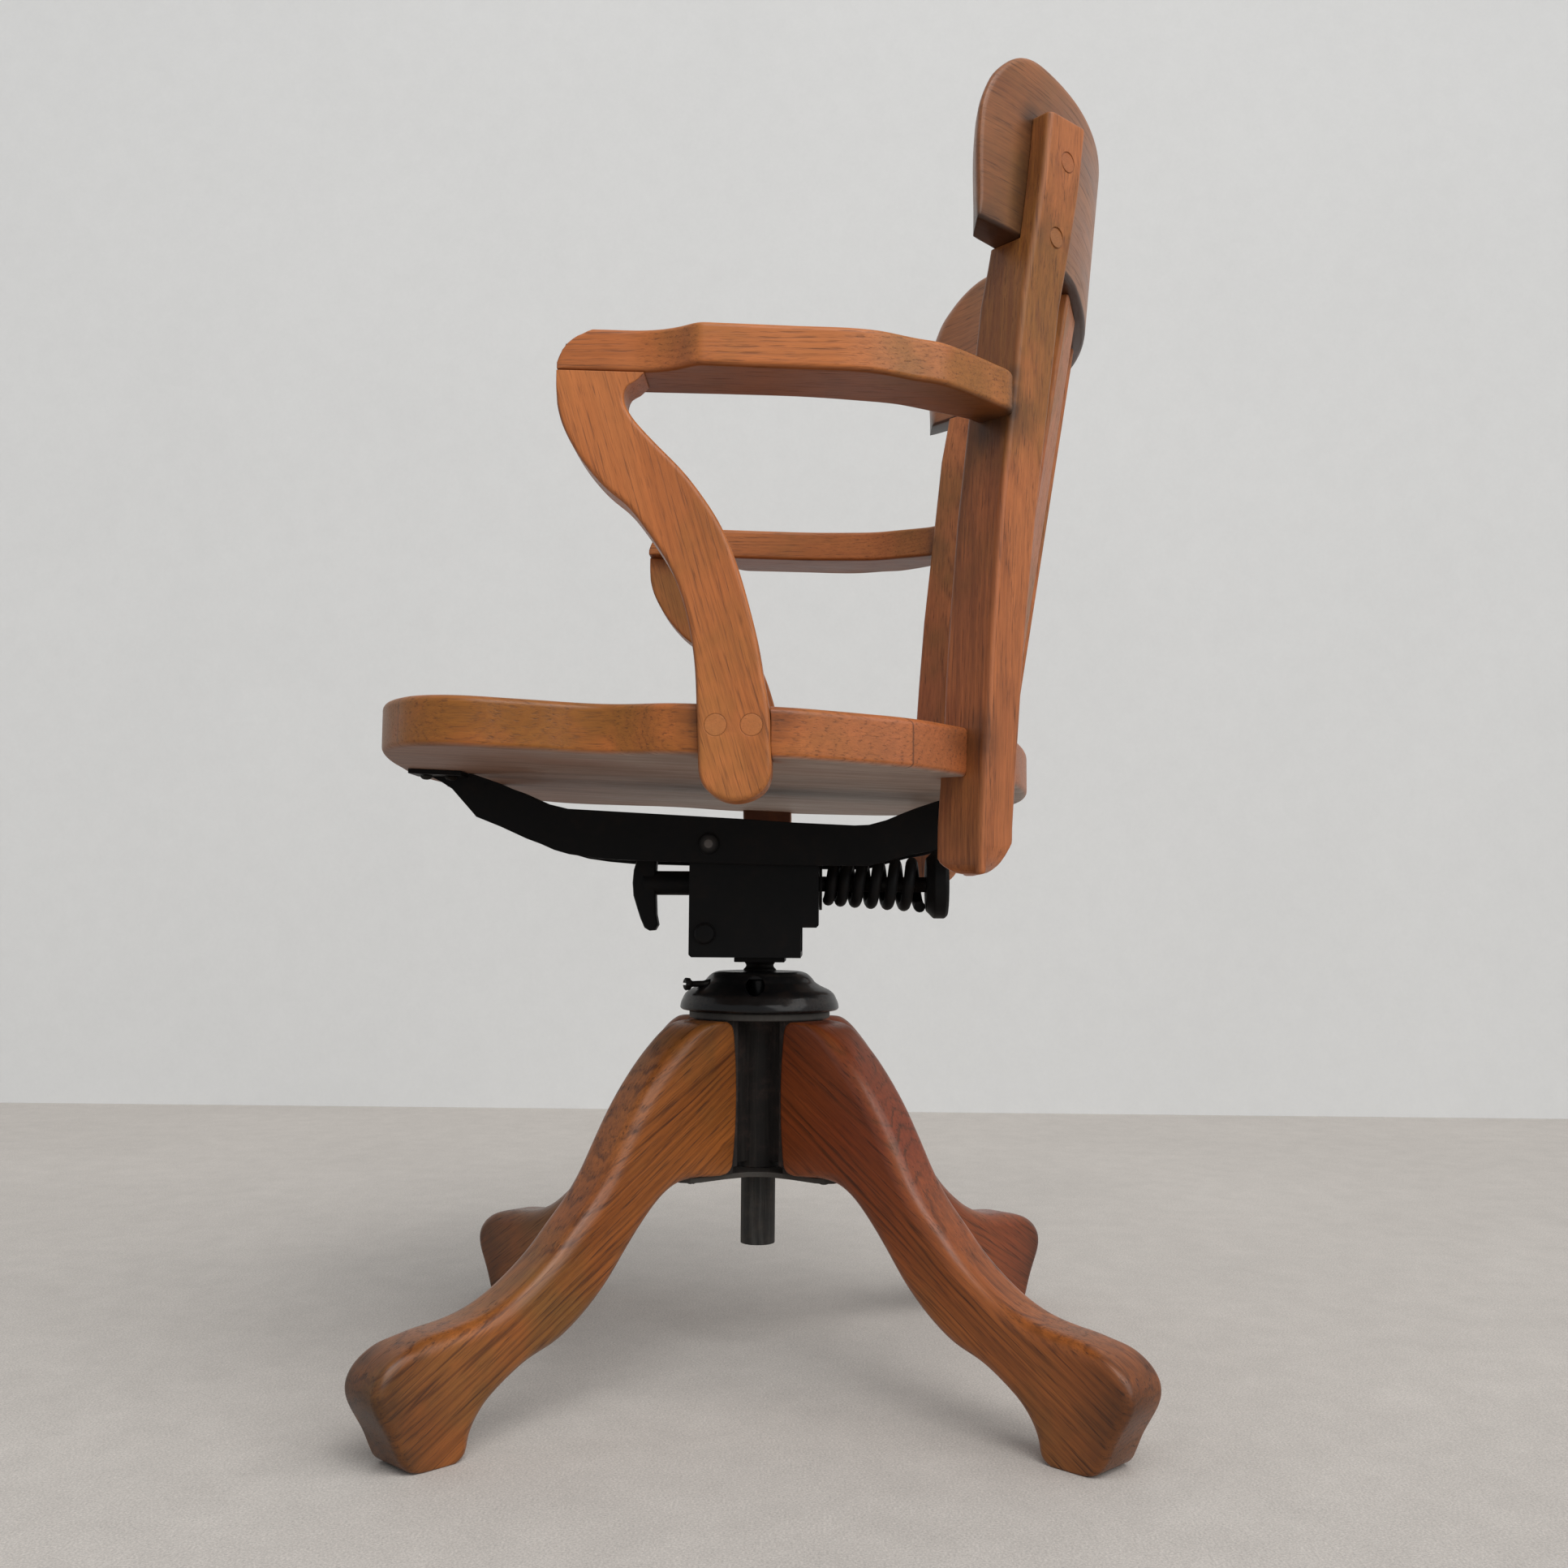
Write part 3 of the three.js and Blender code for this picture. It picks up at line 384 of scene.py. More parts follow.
# ---------------------------------------------------------------- Blender objects
def make_object(name, verts, faces):
    """A mesh in the row frame, from vertices in millimetres round the swivel axis. Its faces look outwards."""
    mesh = bpy.data.meshes.new(name)
    mesh.from_pydata((np.asarray(verts, float) / 1000 + OFFSET).tolist(), [], [list(map(int, f)) for f in faces])
    bm = bmesh.new()
    bm.from_mesh(mesh)
    bmesh.ops.remove_doubles(bm, verts=bm.verts, dist=1e-7)
    bmesh.ops.recalc_face_normals(bm, faces=bm.faces)
    bm.to_mesh(mesh)
    bm.free()
    ob = bpy.data.objects.new(name, mesh)
    bpy.context.scene.collection.objects.link(ob)
    return ob


def bake_modifiers(ob):
    dg = bpy.context.evaluated_depsgraph_get()
    made = bpy.data.meshes.new_from_object(ob.evaluated_get(dg), preserve_all_data_layers=True, depsgraph=dg)
    old = ob.data
    ob.modifiers.clear()
    ob.data = made
    made.name = ob.name
    if old.users == 0:
        bpy.data.meshes.remove(old)


def cut(ob, *cutters, operation="DIFFERENCE", keep=False):
    for c in cutters:
        m = ob.modifiers.new("cut", "BOOLEAN")
        m.operation, m.object, m.solver = operation, c, "EXACT"
        bake_modifiers(ob)
        if not keep:
            bpy.data.objects.remove(c)


def mirrored(ob, name):
    """The same piece on the other side of the chair."""
    other = bpy.data.objects.new(name, ob.data.copy())
    other.data.name = name
    bpy.context.scene.collection.objects.link(other)
    cx = OFFSET[0]
    bm = bmesh.new()
    bm.from_mesh(other.data)
    for v in bm.verts:
        v.co.x = 2 * cx - v.co.x
    bmesh.ops.reverse_faces(bm, faces=bm.faces)
    bm.to_mesh(other.data)
    bm.free()
    return other


def millimetres(ob):
    co = np.zeros(len(ob.data.vertices) * 3, np.float32)
    ob.data.vertices.foreach_get("co", co)
    return (co.reshape(-1, 3).astype(float) - OFFSET) * 1000


def set_float(ob, name, values):
    a = ob.data.attributes.get(name) or ob.data.attributes.new(name, "FLOAT", "POINT")
    a.data.foreach_set("value", np.asarray(values, np.float32))


def set_vector(ob, name, values):
    a = ob.data.attributes.get(name) or ob.data.attributes.new(name, "FLOAT_VECTOR", "POINT")
    a.data.foreach_set("vector", np.asarray(values, np.float32).ravel())


def edge_from_normals(ob, axes):
    """How much of a rounded edge each vertex is, from how far its normal is from the board's own directions."""
    no = np.zeros(len(ob.data.vertices) * 3, np.float32)
    ob.data.vertices.foreach_get("normal", no)
    no = no.reshape(-1, 3)
    worst = np.max(np.abs(no @ np.array(axes, float).T), axis=1)
    set_float(ob, "edge", np.clip((0.995 - worst) / 0.2, 0, 1))


def grain(ob, along, across, through, shift=(0, 0, 0)):
    """The piece's own grain directions, in metres along, across and through the board."""
    P = millimetres(ob) / 1000
    M = np.array([along, across, through], float)
    M /= np.linalg.norm(M, axis=1)[:, None]
    set_vector(ob, "grain", P @ M.T + np.array(shift, float))


def smooth_shading(ob, angle=38.0, weighted=True):
    ob.data.polygons.foreach_set("use_smooth", [True] * len(ob.data.polygons))
    ob.data.set_sharp_from_angle(angle=math.radians(angle))
    if weighted:
        m = ob.modifiers.new("normals", "WEIGHTED_NORMAL")
        m.mode, m.keep_sharp, m.weight = "FACE_AREA", True, 60


def finish_piece(ob, material, body, nodes, angle=38.0, weighted=True):
    smooth_shading(ob, angle, weighted)
    ob.data.materials.clear()
    ob.data.materials.append(material)
    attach(ob, body)
    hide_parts(*([nodes] if isinstance(nodes, str) else nodes))
    return ob


def refined(node, material, body, width=0.5, segments=2, angle=33.0):
    """A CAD solid of flat faces and turned surfaces, with its edges eased."""
    mesh = NODES[node].data.copy()
    mesh.name = node + "_piece"
    bm = bmesh.new()
    bm.from_mesh(mesh)
    bmesh.ops.remove_doubles(bm, verts=bm.verts, dist=3e-6)
    bmesh.ops.dissolve_limit(bm, angle_limit=math.radians(1.0), verts=bm.verts, edges=bm.edges)
    sharp = [e for e in bm.edges if len(e.link_faces) == 2 and e.calc_face_angle(0) > math.radians(angle)]
    bmesh.ops.bevel(bm, geom=sharp, offset=width / 1000, segments=segments, profile=0.5, affect="EDGES", clamp_overlap=True)
    bmesh.ops.recalc_face_normals(bm, faces=bm.faces)
    for layer in list(bm.loops.layers.float_vector.values()):
        bm.loops.layers.float_vector.remove(layer)
    bm.to_mesh(mesh)
    bm.free()
    mesh.materials.clear()
    ob = bpy.data.objects.new(node + "_piece", mesh)
    bpy.context.scene.collection.objects.link(ob)
    return finish_piece(ob, material, body, node, angle=40.0)


def add_solid(ob, verts, faces):
    """More closed solids in the same mesh."""
    bm = bmesh.new()
    bm.from_mesh(ob.data)
    made = [bm.verts.new(Vector(p)) for p in np.asarray(verts, float) / 1000 + OFFSET]
    new = [bm.faces.new([made[i] for i in f]) for f in faces]
    bmesh.ops.recalc_face_normals(bm, faces=new)
    bm.to_mesh(ob.data)
    bm.free()
    smooth_shading(ob, 40.0, weighted=False)


# ---------------------------------------------------------------- materials
def srgb(r, g, b):
    def one(c):
        c /= 255
        return c / 12.92 if c <= 0.04045 else ((c + 0.055) / 1.055) ** 2.4

    return (one(r), one(g), one(b), 1.0)


class Material:
    """A node material with a principled shader."""

    def __init__(self, name, **constants):
        self.material = bpy.data.materials.new(name)
        self.material.use_nodes = True
        self.tree = self.material.node_tree
        self.tree.nodes.clear()
        self.shader = self.node("ShaderNodeBsdfPrincipled")
        out = self.node("ShaderNodeOutputMaterial")
        self.tree.links.new(self.shader.outputs[0], out.inputs[0])
        for k, v in constants.items():
            self.shader.inputs[k.replace("_", " ")].default_value = v

    def node(self, kind, **settings):
        n = self.tree.nodes.new(kind)
        for k, v in settings.items():
            setattr(n, k, v)
        return n

    def put(self, socket, value):
        if isinstance(value, bpy.types.NodeSocket):
            self.tree.links.new(value, socket)
        elif socket.type == "RGBA" and not np.isscalar(value):
            socket.default_value = tuple(value)[:3] + (1.0,)
        else:
            socket.default_value = value

    def set(self, name, value):
        self.put(self.shader.inputs[name], value)

    def math(self, operation, *values, clamp=False):
        n = self.node("ShaderNodeMath", operation=operation, use_clamp=clamp)
        for s, v in zip(n.inputs, values):
            self.put(s, v)
        return n.outputs[0]

    def vec(self, operation, *values):
        n = self.node("ShaderNodeVectorMath", operation=operation)
        for s, v in zip(n.inputs, values):
            self.put(s, v)
        return n.outputs["Value"] if operation in ("LENGTH", "DISTANCE", "DOT_PRODUCT") else n.outputs[0]

    def split(self, vector):
        n = self.node("ShaderNodeSeparateXYZ")
        self.put(n.inputs[0], vector)
        return n.outputs[0], n.outputs[1], n.outputs[2]

    def join(self, x, y, z):
        n = self.node("ShaderNodeCombineXYZ")
        for s, v in zip(n.inputs, (x, y, z)):
            self.put(s, v)
        return n.outputs[0]

    def attribute(self, name, output="Vector"):
        return self.node("ShaderNodeAttribute", attribute_type="GEOMETRY", attribute_name=name).outputs[output]

    def object_coords(self):
        return self.node("ShaderNodeTexCoord").outputs["Object"]

    def noise(self, vector, scale=1.0, detail=2.0, roughness=0.5, distortion=0.0):
        n = self.node("ShaderNodeTexNoise")
        self.put(n.inputs["Vector"], vector)
        self.put(n.inputs["Scale"], scale)
        self.put(n.inputs["Detail"], detail)
        self.put(n.inputs["Roughness"], roughness)
        self.put(n.inputs["Distortion"], distortion)
        return n.outputs["Fac"]

    def span(self, value, a, b, to0=0.0, to1=1.0, smooth=False):
        n = self.node("ShaderNodeMapRange", clamp=True, interpolation_type="SMOOTHSTEP" if smooth else "LINEAR")
        for s, v in zip(n.inputs, (value, a, b, to0, to1)):
            self.put(s, v)
        return n.outputs[0]

    def ramp(self, value, stops):
        n = self.node("ShaderNodeValToRGB")
        e = n.color_ramp.elements
        while len(e) > 1:
            e.remove(e[-1])
        e[0].position, e[0].color = stops[0][0], tuple(stops[0][1])[:3] + (1.0,)
        for p, c in stops[1:]:
            x = e.new(p)
            x.color = tuple(c)[:3] + (1.0,)
        self.put(n.inputs[0], value)
        return n.outputs[0]

    def mix(self, factor, a, b, blend="MIX"):
        n = self.node("ShaderNodeMix", data_type="RGBA", blend_type=blend, clamp_factor=True)
        self.put(n.inputs[0], factor)
        self.put(n.inputs[6], a)
        self.put(n.inputs[7], b)
        return n.outputs[2]

    def times(self, colour, value):
        """A colour multiplied by a number."""
        n = self.node("ShaderNodeVectorMath", operation="SCALE")
        self.put(n.inputs[0], colour)
        self.put(n.inputs["Scale"], value)
        return n.outputs[0]

    def bump(self, height, strength, distance, ease=None):
        n = self.node("ShaderNodeBump")
        self.put(n.inputs["Height"], height)
        n.inputs["Strength"].default_value = strength
        n.inputs["Distance"].default_value = distance
        if ease:
            b = self.node("ShaderNodeBevel", samples=4)
            b.inputs["Radius"].default_value = ease
            self.tree.links.new(b.outputs[0], n.inputs["Normal"])
        self.tree.links.new(n.outputs[0], self.shader.inputs["Normal"])


def shade(colour, k):
    return tuple(c * k for c in colour[:3])


def oak(name, light, mid, dark, pore, olive, red, rough=0.42, coat=0.08, coat_rough=0.3, spacing=0.0038, contrast=0.30, streak=0.14,
        edge_wear_and_highlight=0.2, edge_dark=0.0, boards=0.0, under=None, grime_and_shade=(), grime_and_shade_colour=(0.016, 0.009, 0.005), blotch=0.10, dashes=0.5,
        pores=0.35, specular=0.3, under_shade=0.0, front_shade=0.0, shade_streaks=0.0):
    """Stained oak under old varnish. It reads the grain attribute, so that its rings, pores and streaks run along each board.
    The tone attribute makes a piece redder and darker."""
    m = Material(name, Coat_Weight=coat, Coat_Roughness=coat_rough, Specular_IOR_Level=specular)
    g = m.attribute("grain")
    place = m.object_coords()
    joint = board_tone = None
    if boards:
        u, v, w = m.split(g)
        cell = m.math("DIVIDE", v, boards)
        n = m.node("ShaderNodeTexWhiteNoise", noise_dimensions="1D")
        m.put(n.inputs["W"], m.math("FLOOR", cell))
        g = m.vec("ADD", g, m.vec("MULTIPLY", n.outputs["Color"], (0.9, 0.05, 0.04)))
        f = m.math("FRACT", cell)
        joint = m.span(m.math("ABSOLUTE", m.math("SUBTRACT", f, 0.5)), 0.5 - 0.0006 / boards, 0.5)
        board_tone = m.span(n.outputs["Value"], 0.0, 1.0, 0.93, 1.10)
    u, v, w = m.split(g)
    slow = m.noise(m.vec("MULTIPLY", g, (1.7, 9.0, 9.0)), detail=2.0)
    slow2 = m.noise(m.vec("ADD", m.vec("MULTIPLY", g, (2.3, 16.0, 16.0)), (3.1, 7.7, 1.3)), detail=2.0)
    v2 = m.math("ADD", v, m.math("MULTIPLY", m.math("SUBTRACT", slow, 0.5), 0.080))
    w2 = m.math("ADD", m.math("ADD", w, 0.058), m.math("MULTIPLY", m.math("SUBTRACT", slow2, 0.5), 0.028))
    radius = m.vec("LENGTH", m.join(0.0, v2, w2))
    wobble = m.noise(m.vec("MULTIPLY", g, (4.0, 85.0, 85.0)), detail=3.0, roughness=0.6)
    ring = m.math("FRACT", m.math("ADD", m.math("DIVIDE", radius, spacing), m.math("MULTIPLY", wobble, 2.2)))
    line = m.math("ADD", m.span(ring, 0.0, 0.30, 1.0, 0.0, smooth=True), m.span(ring, 0.82, 1.0, 0.0, 1.0, smooth=True))
    fade = m.noise(m.vec("ADD", m.vec("MULTIPLY", g, (5.0, 70.0, 70.0)), (1.0, 4.0, 9.0)), detail=2.0)
    line = m.math("MULTIPLY", line, m.span(fade, 0.36, 0.66, 0.08, 1.0))
    # soft patches between the two stains, and olive-brown ones where the varnish has aged; where the attribute is set
    # these grow: aged varnish, and on the posts' front faces painted shade
    patch = m.noise(m.vec("ADD", m.vec("MULTIPLY", g, (4.5, 22.0, 22.0)), (11.0, 2.0, 5.0)), detail=3.0, roughness=0.6)
    colour = m.mix(m.span(patch, 0.34, 0.66), mid, light)
    aged_and_shade = m.noise(place, scale=8.5, detail=4.0, roughness=0.6)
    aged_and_shade = m.math("ADD", aged_and_shade, m.math("MULTIPLY", m.attribute("aged_and_shade", "Fac"), 0.22))
    colour = m.mix(m.span(aged_and_shade, 0.44, 0.68, 0.0, 0.80, smooth=True), colour, olive)
    tone = m.attribute("tone", "Fac")
    warm = m.noise(m.vec("ADD", place, (0.7, 0.3, 0.1)), scale=6.0, detail=2.0)
    colour = m.mix(m.math("MULTIPLY", tone, m.span(warm, 0.3, 0.6, 0.75, 1.0)), colour, red)
    colour = m.mix(m.math("MULTIPLY", line, contrast), colour, dark)
    fine = m.noise(m.vec("MULTIPLY", g, (7.0, 380.0, 380.0)), detail=3.0, roughness=0.6)
    colour = m.times(colour, m.span(fine, 0.30, 0.70, 1.0 - streak, 1.0 + streak * 0.6))
    slow3 = m.noise(m.vec("ADD", m.vec("MULTIPLY", g, (2.4, 7.0, 7.0)), (2.0, 8.0, 1.0)), detail=3.0)
    colour = m.times(colour, m.span(slow3, 0.3, 0.7, 1.0 - blotch, 1.0 + blotch))
    # short dark vessels along the grain, thicker in the early wood
    vessel = m.noise(m.vec("MULTIPLY", g, (34.0, 820.0, 820.0)), detail=2.0, roughness=0.55)
    vessel = m.math("MULTIPLY", m.span(vessel, 0.54, 0.66), m.span(ring, 0.25, 0.60, 1.0, 0.45))
    colour = m.mix(m.math("MULTIPLY", vessel, dashes), colour, pore)
    dots = m.noise(m.vec("MULTIPLY", g, (90.0, 2100.0, 2100.0)), detail=1.0)
    dots = m.math("MULTIPLY", m.span(dots, 0.56, 0.66), m.span(ring, 0.30, 0.50, 1.0, 0.4))
    colour = m.mix(m.math("MULTIPLY", dots, pores), colour, pore)
    if board_tone is not None:
        colour = m.times(colour, board_tone)
    edge = m.attribute("edge", "Fac")
    # patchy noise that breaks up the worn edges and the painted shade below
    breakup = m.noise(place, scale=38.0, detail=3.0, roughness=0.6)
    # rounded edges lightened in patches: partly wear, partly a painted highlight
    if edge_wear_and_highlight:
        colour = m.mix(m.math("MULTIPLY", m.math("MULTIPLY", edge, m.span(breakup, 0.35, 0.65)), edge_wear_and_highlight), colour, shade(light, 1.25))
    if edge_dark:
        colour = m.mix(m.math("MULTIPLY", edge, edge_dark), colour, shade(dark, 0.7))
    # painted shade: the faces marked front are darkened in streaks along the grain
    if shade_streaks:
        bands = m.noise(m.vec("ADD", m.vec("MULTIPLY", g, (3.0, 150.0, 150.0)), (5.0, 1.0, 2.0)), detail=3.0, roughness=0.6)
        bands = m.span(bands, 0.36, 0.60, 0.05, 1.0)
        colour = m.mix(m.math("MULTIPLY", m.math("MULTIPLY", m.attribute("front", "Fac"), bands), shade_streaks), colour, shade(dark, 0.8))
    # painted shade: the faces marked front are darkened
    if front_shade:
        colour = m.mix(m.math("MULTIPLY", m.attribute("front", "Fac"), m.span(breakup, 0.3, 0.7, front_shade, front_shade * 0.6)), colour, shade(dark, 0.5))
    if joint is not None:
        colour = m.mix(m.math("MULTIPLY", joint, 0.75), colour, shade(pore, 0.7))
    roughness = m.math("ADD", m.span(patch, 0.3, 0.7, rough - 0.05, rough + 0.07), m.math("MULTIPLY", vessel, 0.15))
    if under:
        mask = m.attribute("under", "Fac")
        y = m.split(m.vec("SUBTRACT", place, tuple(OFFSET)))[1]
        bare = m.noise(m.vec("MULTIPLY", g, (9.0, 140.0, 140.0)), detail=4.0, roughness=0.6)
        blot = m.noise(place, scale=9.0, detail=4.0, roughness=0.6)
        far = m.span(m.math("ADD", y, m.math("MULTIPLY", m.math("SUBTRACT", blot, 0.5), 0.25)), -0.24, 0.06, smooth=True)
        dull = m.times(m.mix(far, under[0], under[1]), m.span(bare, 0.3, 0.7, 0.72, 1.2))
        dull = m.mix(m.math("MULTIPLY", vessel, 0.35), dull, pore)
        dull = m.mix(m.math("MULTIPLY", line, 0.28), dull, dark)
        if joint is not None:
            dull = m.mix(m.math("MULTIPLY", joint, 0.6), dull, pore)
        colour = m.mix(m.math("MULTIPLY", mask, m.span(blot, 0.25, 0.65, 0.85, 1.0)), colour, dull)
        roughness = m.math("ADD", roughness, m.math("MULTIPLY", mask, 0.25))
    # painted shade: the faces marked under are darkened
    if under_shade:
        colour = m.mix(m.math("MULTIPLY", m.attribute("under", "Fac"), m.span(breakup, 0.3, 0.7, under_shade, under_shade * 0.75)), colour, shade(dark, 0.45))
    # painted shade and grime: darker spots round the listed points, where parts meet and where shade falls
    if grime_and_shade:
        x, y, z = m.split(m.vec("SUBTRACT", place, tuple(OFFSET)))
        p = m.join(m.math("ABSOLUTE", x), y, z)
        dark_patch = None
        for (gx, gy, gz), r, s in grime_and_shade:
            d = m.vec("LENGTH", m.vec("SUBTRACT", p, (gx / 1000, gy / 1000, gz / 1000)))
            k = m.span(d, r * 0.2, r, s, 0.0, smooth=True)
            dark_patch = k if dark_patch is None else m.math("MAXIMUM", dark_patch, k)
        dark_patch = m.math("MULTIPLY", dark_patch, m.span(breakup, 0.3, 0.7, 1.0, 0.55))
        colour = m.mix(dark_patch, colour, grime_and_shade_colour)
    m.set("Base Color", colour)
    m.set("Roughness", roughness)
    height = m.math("SUBTRACT", m.math("MULTIPLY", line, -0.25), m.math("MULTIPLY", vessel, 0.8))
    height = m.math("ADD", height, m.math("MULTIPLY", fine, 0.35))
    m.bump(height, 0.30, 0.0003, ease=0.0011)
    return m.material


def black_iron(name, base=(0.0032, 0.0032, 0.0034), second=(0.006, 0.005, 0.0045), dust_and_sheen=(0.030, 0.027, 0.024), bare=(0.045, 0.037, 0.032),
               rough=0.5, chips=0.35, dust=0.25, coat=0.0, coat_rough=0.25, ease=0.0006, grainy=0.2, specular=0.10, streaks=0.0, glint=0.0):
    """Old black paint on steel: a little dust where it faces up, thin brown paint in places, bare spots along the
    edges. The glint setting paints lighter edges as a highlight; the streaks setting adds lighter vertical streaks, on
    the guard tube a painted highlight.
    """
    m = Material(name, Coat_Weight=coat, Coat_Roughness=coat_rough, Specular_IOR_Level=specular, Metallic=0.0)
    place = m.object_coords()
    big = m.noise(place, scale=26.0, detail=4.0, roughness=0.6)
    small = m.noise(place, scale=420.0, detail=3.0, roughness=0.65)
    mottle = m.noise(m.vec("ADD", place, (0.4, 0.2, 0.9)), scale=95.0, detail=4.0, roughness=0.7)
    colour = m.mix(m.math("MULTIPLY", m.span(mottle, 0.45, 0.62), m.span(big, 0.40, 0.58)), base, second)
    colour = m.times(colour, m.span(big, 0.3, 0.7, 0.8, 1.3))
    # lighter vertical streaks: on the guard tube a painted highlight standing in for its reflections
    if streaks:
        vertical_streak = m.noise(m.vec("MULTIPLY", place, (260.0, 260.0, 14.0)), detail=3.0, roughness=0.6)
        colour = m.mix(m.math("MULTIPLY", m.span(vertical_streak, 0.48, 0.66), streaks), colour, dust_and_sheen)
    nz = m.split(m.node("ShaderNodeNewGeometry").outputs["Normal"])[2]
    up = m.math("MULTIPLY", m.span(nz, 0.3, 0.98, smooth=True), m.span(big, 0.35, 0.7, 0.4, 1.0))
    colour = m.mix(m.math("MULTIPLY", up, dust), colour, dust_and_sheen)
    edge = m.attribute("edge", "Fac")
    chip = m.math("MULTIPLY", m.span(m.math("ADD", m.math("MULTIPLY", edge, 0.5), m.math("MULTIPLY", small, 0.7)), 0.66, 0.76), m.span(big, 0.45, 0.62))
    colour = m.mix(m.math("MULTIPLY", chip, chips), colour, bare)
    # glint: edges lightened towards the bare colour as a painted highlight
    if glint:
        colour = m.mix(m.math("MULTIPLY", edge, glint), colour, bare)
    m.set("Base Color", colour)
    m.set("Roughness", m.math("ADD", m.span(big, 0.3, 0.7, rough - 0.06, rough + 0.10), m.math("MULTIPLY", up, 0.2)))
    m.bump(m.math("ADD", m.math("MULTIPLY", small, 0.6), big), grainy, 0.0004, ease=ease)
    return m.material


def worn_steel(name, clean=(0.10, 0.095, 0.088), dark_patch=(0.010, 0.008, 0.007), rust=(0.030, 0.015, 0.008), rough=0.42, amount=0.6):
    """Bare steel under old grease, with a little rust."""
    m = Material(name, Specular_IOR_Level=0.4, Metallic=0.8)
    place = m.object_coords()
    big = m.noise(place, scale=60.0, detail=5.0, roughness=0.65)
    small = m.noise(m.vec("MULTIPLY", place, (900.0, 900.0, 120.0)), detail=2.0)
    mask = m.span(big, 0.60 - 0.25 * amount, 0.78 - 0.25 * amount)
    colour = m.mix(mask, m.times(clean, m.span(small, 0.3, 0.7, 0.85, 1.1)), m.ramp(big, [(0.45, dark_patch), (0.62, rust), (0.8, dark_patch)]))
    m.set("Base Color", colour)
    m.set("Roughness", m.span(mask, 0.0, 1.0, rough, rough + 0.25))
    m.bump(big, 0.2, 0.0003, ease=0.0004)
    return m.material


# Looks as lit in the photograph: orange-brown oak above, darker and redder legs.
# darker spots where parts meet: grime in the joints and painted shade, darkest under the arm where it meets the post
JOINT_GRIME_AND_SHADE = [
    ((200, 166, 686), 0.032, 0.95), ((219, 175, 689), 0.015, 0.9), ((219, 175.5, 701), 0.012, 0.8), ((219, 176, 713), 0.011, 0.7), ((266, -92, 694), 0.020, 0.55), ((218, 150, 468), 0.030, 0.6),
    ((265, -30, 476), 0.022, 0.5), ((268, 20, 474), 0.022, 0.5), ((221, 205, 811), 0.022, 0.5),
]
# the crest's darker spots: its lower front corner and the line where it meets the post, painted shade with some grime
CREST_GRIME_AND_SHADE = [((226, 149, 805), 0.032, 1.0), ((214, 150, 812), 0.016, 0.8)]
CREST_GRIME_AND_SHADE += [((208.3 - 0.3 * i, 181.5 + 1.35 * i, 812 + 13 * i), 0.021, 0.8) for i in range(7)]
OAK_SEAT = oak(
    "oak_seat_look", srgb(173, 98, 46), srgb(156, 83, 37), srgb(108, 56, 24), srgb(62, 34, 17), srgb(122, 78, 24), srgb(158, 89, 53),
    grime_and_shade=JOINT_GRIME_AND_SHADE, boards=0.1222, under=(srgb(130, 97, 80)[:3], srgb(164, 147, 136)[:3]),
)
OAK_ARM = oak(
    "oak_arm_look", srgb(181, 109, 57), srgb(165, 94, 47), srgb(118, 62, 30), srgb(70, 38, 19), srgb(134, 88, 38), srgb(160, 88, 60),
    contrast=0.26, coat=0.08, grime_and_shade=JOINT_GRIME_AND_SHADE, under_shade=0.65, front_shade=0.6,
)
OAK_POST = oak(
    "oak_post_look", srgb(176, 106, 60), srgb(160, 92, 50), srgb(112, 60, 32), srgb(66, 36, 20), srgb(126, 84, 38), srgb(148, 83, 48),
    contrast=0.42, coat=0.07, dashes=0.55, streak=0.2, grime_and_shade=JOINT_GRIME_AND_SHADE, shade_streaks=0.6,
)
# the posts' stain made a little darker for the crest: a painted shade
OAK_CREST = oak(
    "oak_crest_look", srgb(158, 100, 58), srgb(138, 83, 46), srgb(96, 54, 30), srgb(60, 34, 19), srgb(120, 82, 44), srgb(140, 84, 62),
    contrast=0.30, coat=0.26, grime_and_shade=CREST_GRIME_AND_SHADE, streak=0.16, blotch=0.12, under_shade=1.15, front_shade=0.22,
)
# the legs are darker round the hub and at the toes
OAK_LEG = oak(
    "oak_leg_look", srgb(150, 88, 38), srgb(130, 72, 30), srgb(76, 39, 18), srgb(44, 22, 11), srgb(112, 78, 38), srgb(116, 50, 26),
    rough=0.38, coat=0.15, coat_rough=0.22, spacing=0.0062, contrast=0.80, streak=0.26, edge_wear_and_highlight=0.22, dashes=0.65, specular=0.28,
    grime_and_shade=[((0, 0, 215), 0.060, 0.4), ((262, 262, 26), 0.090, 0.9), ((262, -262, 26), 0.110, 1.0)], blotch=0.14,
)
OAK_PLUG = oak(
    "oak_plug_look", srgb(181, 112, 62), srgb(167, 99, 53), srgb(130, 76, 40), srgb(84, 48, 25), srgb(148, 98, 48), srgb(160, 90, 60),
    contrast=0.12, streak=0.08, spacing=0.0016, edge_wear_and_highlight=0.0, edge_dark=0.07, dashes=0.2, pores=0.15,
)
POST_PLUG = oak(
    "oak_post_plug_look", srgb(168, 101, 57), srgb(156, 90, 49), srgb(118, 66, 36), srgb(76, 43, 24), srgb(132, 86, 44), srgb(150, 78, 50),
    contrast=0.12, streak=0.10, spacing=0.0016, edge_wear_and_highlight=0.0, edge_dark=0.14, dashes=0.25, pores=0.2,
)
BLACK_IRON = black_iron("black_iron_look", base=(0.0052, 0.0052, 0.0054), second=(0.0075, 0.006, 0.0055))
# glint lightens the pin's end towards the bare colour: a painted highlight
PIN_IRON = black_iron("pin_iron_look", glint=0.9, bare=(0.12, 0.11, 0.105))
